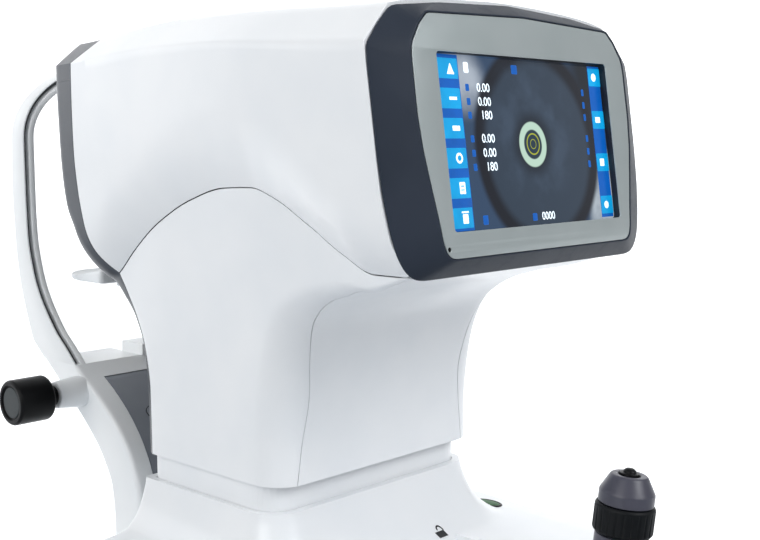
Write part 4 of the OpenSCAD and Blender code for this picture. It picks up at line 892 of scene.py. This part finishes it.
def make_headrest():
    """Hoop with its groove, foot with the inset panel, chin cup, forehead pad and height knob; a dark grey
    piece in the groove is painted shade.
    """
    section = [[0, 0, 1.2], [0, 1, -1.4], [0.4, 1, -0.4], [1.4, 1, 0], [8.1, 1, 0], [9.1, 1, -0.4],
               [9.5, 1, -1.4], [9.5, 0, 1.4], [9.1, 0, 0.4], [8.1, 0, 0], [5.4, 0, 0], [4.9, 0, 0.5],
               [4.7, 1, -9], [1.5, 1, -9], [1.3, 0, 0.4], [1.0, 0, 0.1], [0.3, 0, 0.3]]
    loft("hoop_bow", hoop_rings(section), "white_headrest", "base", ["hoop"], sharp=50)
    # painted shade: a dark grey piece fills the channel, which is really white and only lies in shade
    groove = [[1.6, 0, 2.2], [3.4, 0, 4.2], [4.55, 0, 4.8], [4.55, 1, -8.6], [1.6, 1, -8.6]]
    loft("hoop_groove", hoop_rings(groove), "groove_painted_shade", "base", sharp=50)
    z = np.linspace(66, 212, 60)
    rings = []
    for h in z:
        w, y0, y1 = 93 + curve(h, HOOP_SIDE), 94 + curve(h, ARM_FRONT), 94 + curve(h, ARM_REAR)
        line = fillet([[-w, y0], [w, y0], [w, y1], [-w, y1]], 4.0, 6)
        rings.append(np.column_stack([line, np.full(len(line), h)]))
    foot = loft("headrest_foot", rings, "white_headrest", "base", ["pedestal"], roll=0.5, sharp=50)

    def band(z0, z1, w0, w1, a0, a1):
        """Rings of a slab that follows the foot's front line between two heights."""
        out = []
        for h in np.linspace(z0, z1, 44):
            w = w0 + (w1 - w0) * (h - z0) / (z1 - z0)
            y = 94 + float(curve(h, ARM_FRONT))
            out.append([[-w, y + a0, h], [w, y + a0, h], [w, y + a1, h], [-w, y + a1, h]])
        return out

    carve(foot, [loft("cutter", band(100, 203, 66, 68, -8, 4), "seam_dark", None),
                 cutter((-27, 165, 150), (27, 240, 220))])
    loft("foot_panel", band(100.6, 202.4, 65.4, 67.4, 0.5, 3.9), "panel_grey", "base", ["pedestal_panel"],
         roll=0.4, sharp=50)
    loft("foot_panel_shadow", band(100, 203, 66, 68, 3.6, 4.4), "seam_dark", "base")
    cap = (Matrix.Translation((-49, 94 + float(curve(179, ARM_FRONT)), 179))
           @ Matrix.Rotation(math.radians(50), 4, "X"))
    lathe("screw_cap", [[0, -1.5], [4.5, -1.5], [4.5, 0.5], [4.1, 0.9], [0, 0.7]], "panel_grey", "base",
          ["panel_cap"], cap, 0.3)
    lathe("screw_cap_seat", [[4.6, -1.0], [5.1, -1.0], [5.1, 0.55], [4.6, 0.55]], "seam_dark", "base",
          (), cap, 0.1, closed=True)
    turned = Matrix.Translation((0, 159, 194)) @ Matrix.Rotation(-math.pi / 2, 4, "Y")
    lathe("boss_sleeve", [[4.05, 74], [11.4, 74], [11, 89], [9.2, 104], [4.05, 104]],
          "white_headrest", "base", ["knob_boss"], turned, 1.2, closed=True)
    lathe("height_grip", [[0, 104.6], [7, 104.6], [7, 111.6], [14.5, 111.6], [15.5, 113], [15.5, 136.6],
                          [14.4, 138], [12.0, 138], [11.6, 136.4], [0, 136.4]], "knob_black", "knob",
          ["height_knob"], turned, 0.6, 360,
          lambda t, h: -0.5 * np.clip(np.cos(30 * t), 0, 1) ** 2 * (h > 112) * ease((h - 115) / 1.2)
          * ease((134.4 - h) / 1.2))
    lathe("height_disc", [[0, 136.0], [10.6, 136.0], [10.6, 136.9], [9.8, 137.2], [0, 137.2]], "knob_disc",
          "knob", (), turned, 0.4)
    corners = np.array([[4], [4], [24], [24]])
    cup_line = fillet([[-45, 188], [45, 188], [45, 242], [-45, 242]], corners, 14)
    mid = cup_line.mean(0)
    rings = []
    for share, z in ((0.02, 264), (0.955, 264), (0.985, 264.6), (1, 266), (1, 272.2), (0.985, 273.5),
                     (0.955, 274), (0.9, 274), (0.8, 274), (0.7, 274), (0.55, 274), (0.4, 274), (0.2, 274),
                     (0.02, 274)):
        line = mid + (cup_line - mid) * share
        dish = 336 - np.sqrt(np.maximum(68.0 ** 2 - (line[:, 1] - 228) ** 2, 0))
        rings.append(np.column_stack([line, np.where(z > 272, np.minimum(z, np.maximum(dish, 268.2)), z)]))
    loft("chin_dish", rings, "rest_silicone", "chin", ["chin_cup"], sharp=50)
    rings = []
    for t in np.linspace(-1, 1, 61):
        full = max(0.02, (1 - abs(t) ** 14)) ** 0.5
        b = np.radians(38 * t)
        u = np.radians(np.linspace(0, 360, 36, endpoint=False))
        r = 89 + 7 * full * np.sign(np.sin(u)) * np.abs(np.sin(u)) ** 0.6
        front = 212 - 7 * full * np.sign(np.cos(u)) * np.abs(np.cos(u)) ** 0.6
        rings.append(np.column_stack([r * np.sin(b), front, 316 + r * np.cos(b)]))
    loft("forehead_rest", rings, "rest_silicone", "base", ["forehead_pad"], sharp=50)
    rounded_box("forehead_stem", (-13, 211, 408), (13, 217, 420.8), 2, "rest_silicone", "base")


def make_base():
    """Base cover with rolled edges and openings for the inlet and the switch."""
    rings = []
    for inset, z in ((0.6, 14), (0, 14.6), (0, 60.5), (0.5, 63), (1.6, 64.8), (3.2, 65.7), (5, 66)):
        x, front, rear = 118 - inset, -200 + inset, 196 - inset
        line = fillet([[-x, front], [x, front], [x, rear], [-x, rear]], 30, 16)
        rings.append(np.column_stack([line, np.full(len(line), z)]))
    cover = loft("base_skin", rings, "white_shell", "base", ["base_cover"], sharp=40)
    carve(cover, [cutter((-74, 171, 26), (-46, 200, 50)), cutter((104, -134, 28), (122, -106, 48))])


def shade_floor(m):
    """Floor tone by place: soft grey in front of the object, white and shining behind it."""
    n, link = m.node_tree.nodes, m.node_tree.links.new
    p = n["Principled BSDF"]
    kinds = ("TexCoord", "VectorMath", "MapRange", "Mix")
    place, along, span, mix = (n.new("ShaderNode" + kind) for kind in kinds)
    along.operation = "DOT_PRODUCT"
    along.inputs[1].default_value = (0.73, 0.684, 0)
    span.interpolation_type = "SMOOTHSTEP"
    span.inputs["From Min"].default_value = -0.05
    span.inputs["From Max"].default_value = 0.3
    mix.data_type = "RGBA"
    mix.inputs[6].default_value = tint("#B4B8BD")
    mix.inputs[7].default_value = tint("#FBFCFD")
    power = n.new("ShaderNodeMath")
    power.operation = "MULTIPLY"
    power.inputs[1].default_value = 0.6
    link(place.outputs["Object"], along.inputs[0])
    link(along.outputs["Value"], span.inputs["Value"])
    link(span.outputs[0], mix.inputs[0])
    link(span.outputs[0], power.inputs[0])
    link(mix.outputs[2], p.inputs["Base Color"])
    link(power.outputs[0], p.inputs["Emission Strength"])


def make_room():
    """Pale floor, soft lights and the camera."""
    world = bpy.context.scene.world or bpy.data.worlds.new("studio")
    bpy.context.scene.world = world
    world.use_nodes = True
    n, link = world.node_tree.nodes, world.node_tree.links.new
    kinds = ("TexCoord", "SeparateXYZ", "MapRange")
    way, part, span = (n.new("ShaderNode" + kind) for kind in kinds)
    span.inputs["From Min"].default_value = -0.3
    span.inputs["From Max"].default_value = 0.8
    span.inputs["To Min"].default_value = 0.19
    span.inputs["To Max"].default_value = 0.46
    n["Background"].inputs["Color"].default_value = (0.96, 0.98, 1.0, 1)
    link(way.outputs["Generated"], part.inputs[0])
    link(part.outputs["Z"], span.inputs["Value"])
    link(span.outputs[0], n["Background"].inputs["Strength"])
    for name, at, size, power, colour in (
            ("key", (-1.6, -0.15, 0.9), 1.2, 12, (1, 0.995, 0.985)),
            ("fill", (0.3, -1.7, 1.4), 1.1, 20, (0.97, 0.98, 1)),
            ("top", (0.1, 0.2, 1.9), 1.2, 2, (1, 1, 1)),
            ("rear", (-0.9, 1.6, 0.9), 1.2, 5, (0.97, 0.98, 1))):
        light = bpy.data.lights.new(name, "AREA")
        light.shape = "DISK"
        light.size = size
        light.energy = power
        light.color = colour
        ob = bpy.data.objects.new(name, light)
        ob.location = at
        ob.rotation_euler = (Vector((0, 0, 0.3)) - Vector(at)).to_track_quat("-Z", "Y").to_euler()
        bpy.context.scene.collection.objects.link(ob)
    pale = stuff("floor_pale", "#FBFCFD", "#F8F9FB", 0.8, grain=(80, 0.0), broad=1.0)
    glow(pale, 0.45)
    shade_floor(pale)
    wall = stuff("backdrop_pale", "#FFFFFF", "#FDFEFF", 0.9, grain=(80, 0.0), broad=1.0)
    glow(wall, 0.85)
    for name, corners, finish in (
            ("floor", [(-9, -9, 0), (9, -9, 0), (9, 9, 0), (-9, 9, 0)], pale),
            ("backdrop", [(-3, 7, -0.1), (8.5, 1, -0.1), (8.5, 1, 5), (-3, 7, 5)], wall)):
        me = bpy.data.meshes.new(name)
        me.from_pydata(corners, [], [(0, 1, 2, 3)])
        me.materials.append(finish)
        ob = bpy.data.objects.new(name, me)
        bpy.context.scene.collection.objects.link(ob)
    data = bpy.data.cameras.new("view")
    data.lens = 55.47
    data.sensor_width = 36.0
    data.clip_start = 0.01
    cam = bpy.data.objects.new("view", data)
    cam.location = (-0.53316, -0.5555, 0.3738)
    az, down = math.radians(-46.8), math.radians(6.53)
    aim = Vector((-math.sin(az) * math.cos(down), math.cos(az) * math.cos(down), -math.sin(down)))
    cam.rotation_euler = aim.to_track_quat("-Z", "Y").to_euler()
    bpy.context.scene.collection.objects.link(cam)
    bpy.context.scene.camera = cam
    bpy.context.scene.view_settings.view_transform = "Standard"


for spare in [o for o in bpy.data.objects
              if o.type in {"LIGHT", "CAMERA"} or o.type == "MESH" and o.name not in NODES]:
    bpy.data.objects.remove(spare)
make_materials()
eye_picture()
lit("mark_cyan", "#028CC2", "#0080B4", 0.8)
lit("mark_blue", "#004C9A", "#00468E", 0.9)
lit("mark_white", "#E6F2FA", "#D8E8F2", 0.85)
for node in NODES.values():
    for i, old in enumerate(node.data.materials):
        if old.name.split(".")[0] in STUFF:
            node.data.materials[i] = STUFF[old.name.split(".")[0]]
make_head()
make_screen()
make_stage()
make_joystick()
make_headrest()
make_base()
make_room()
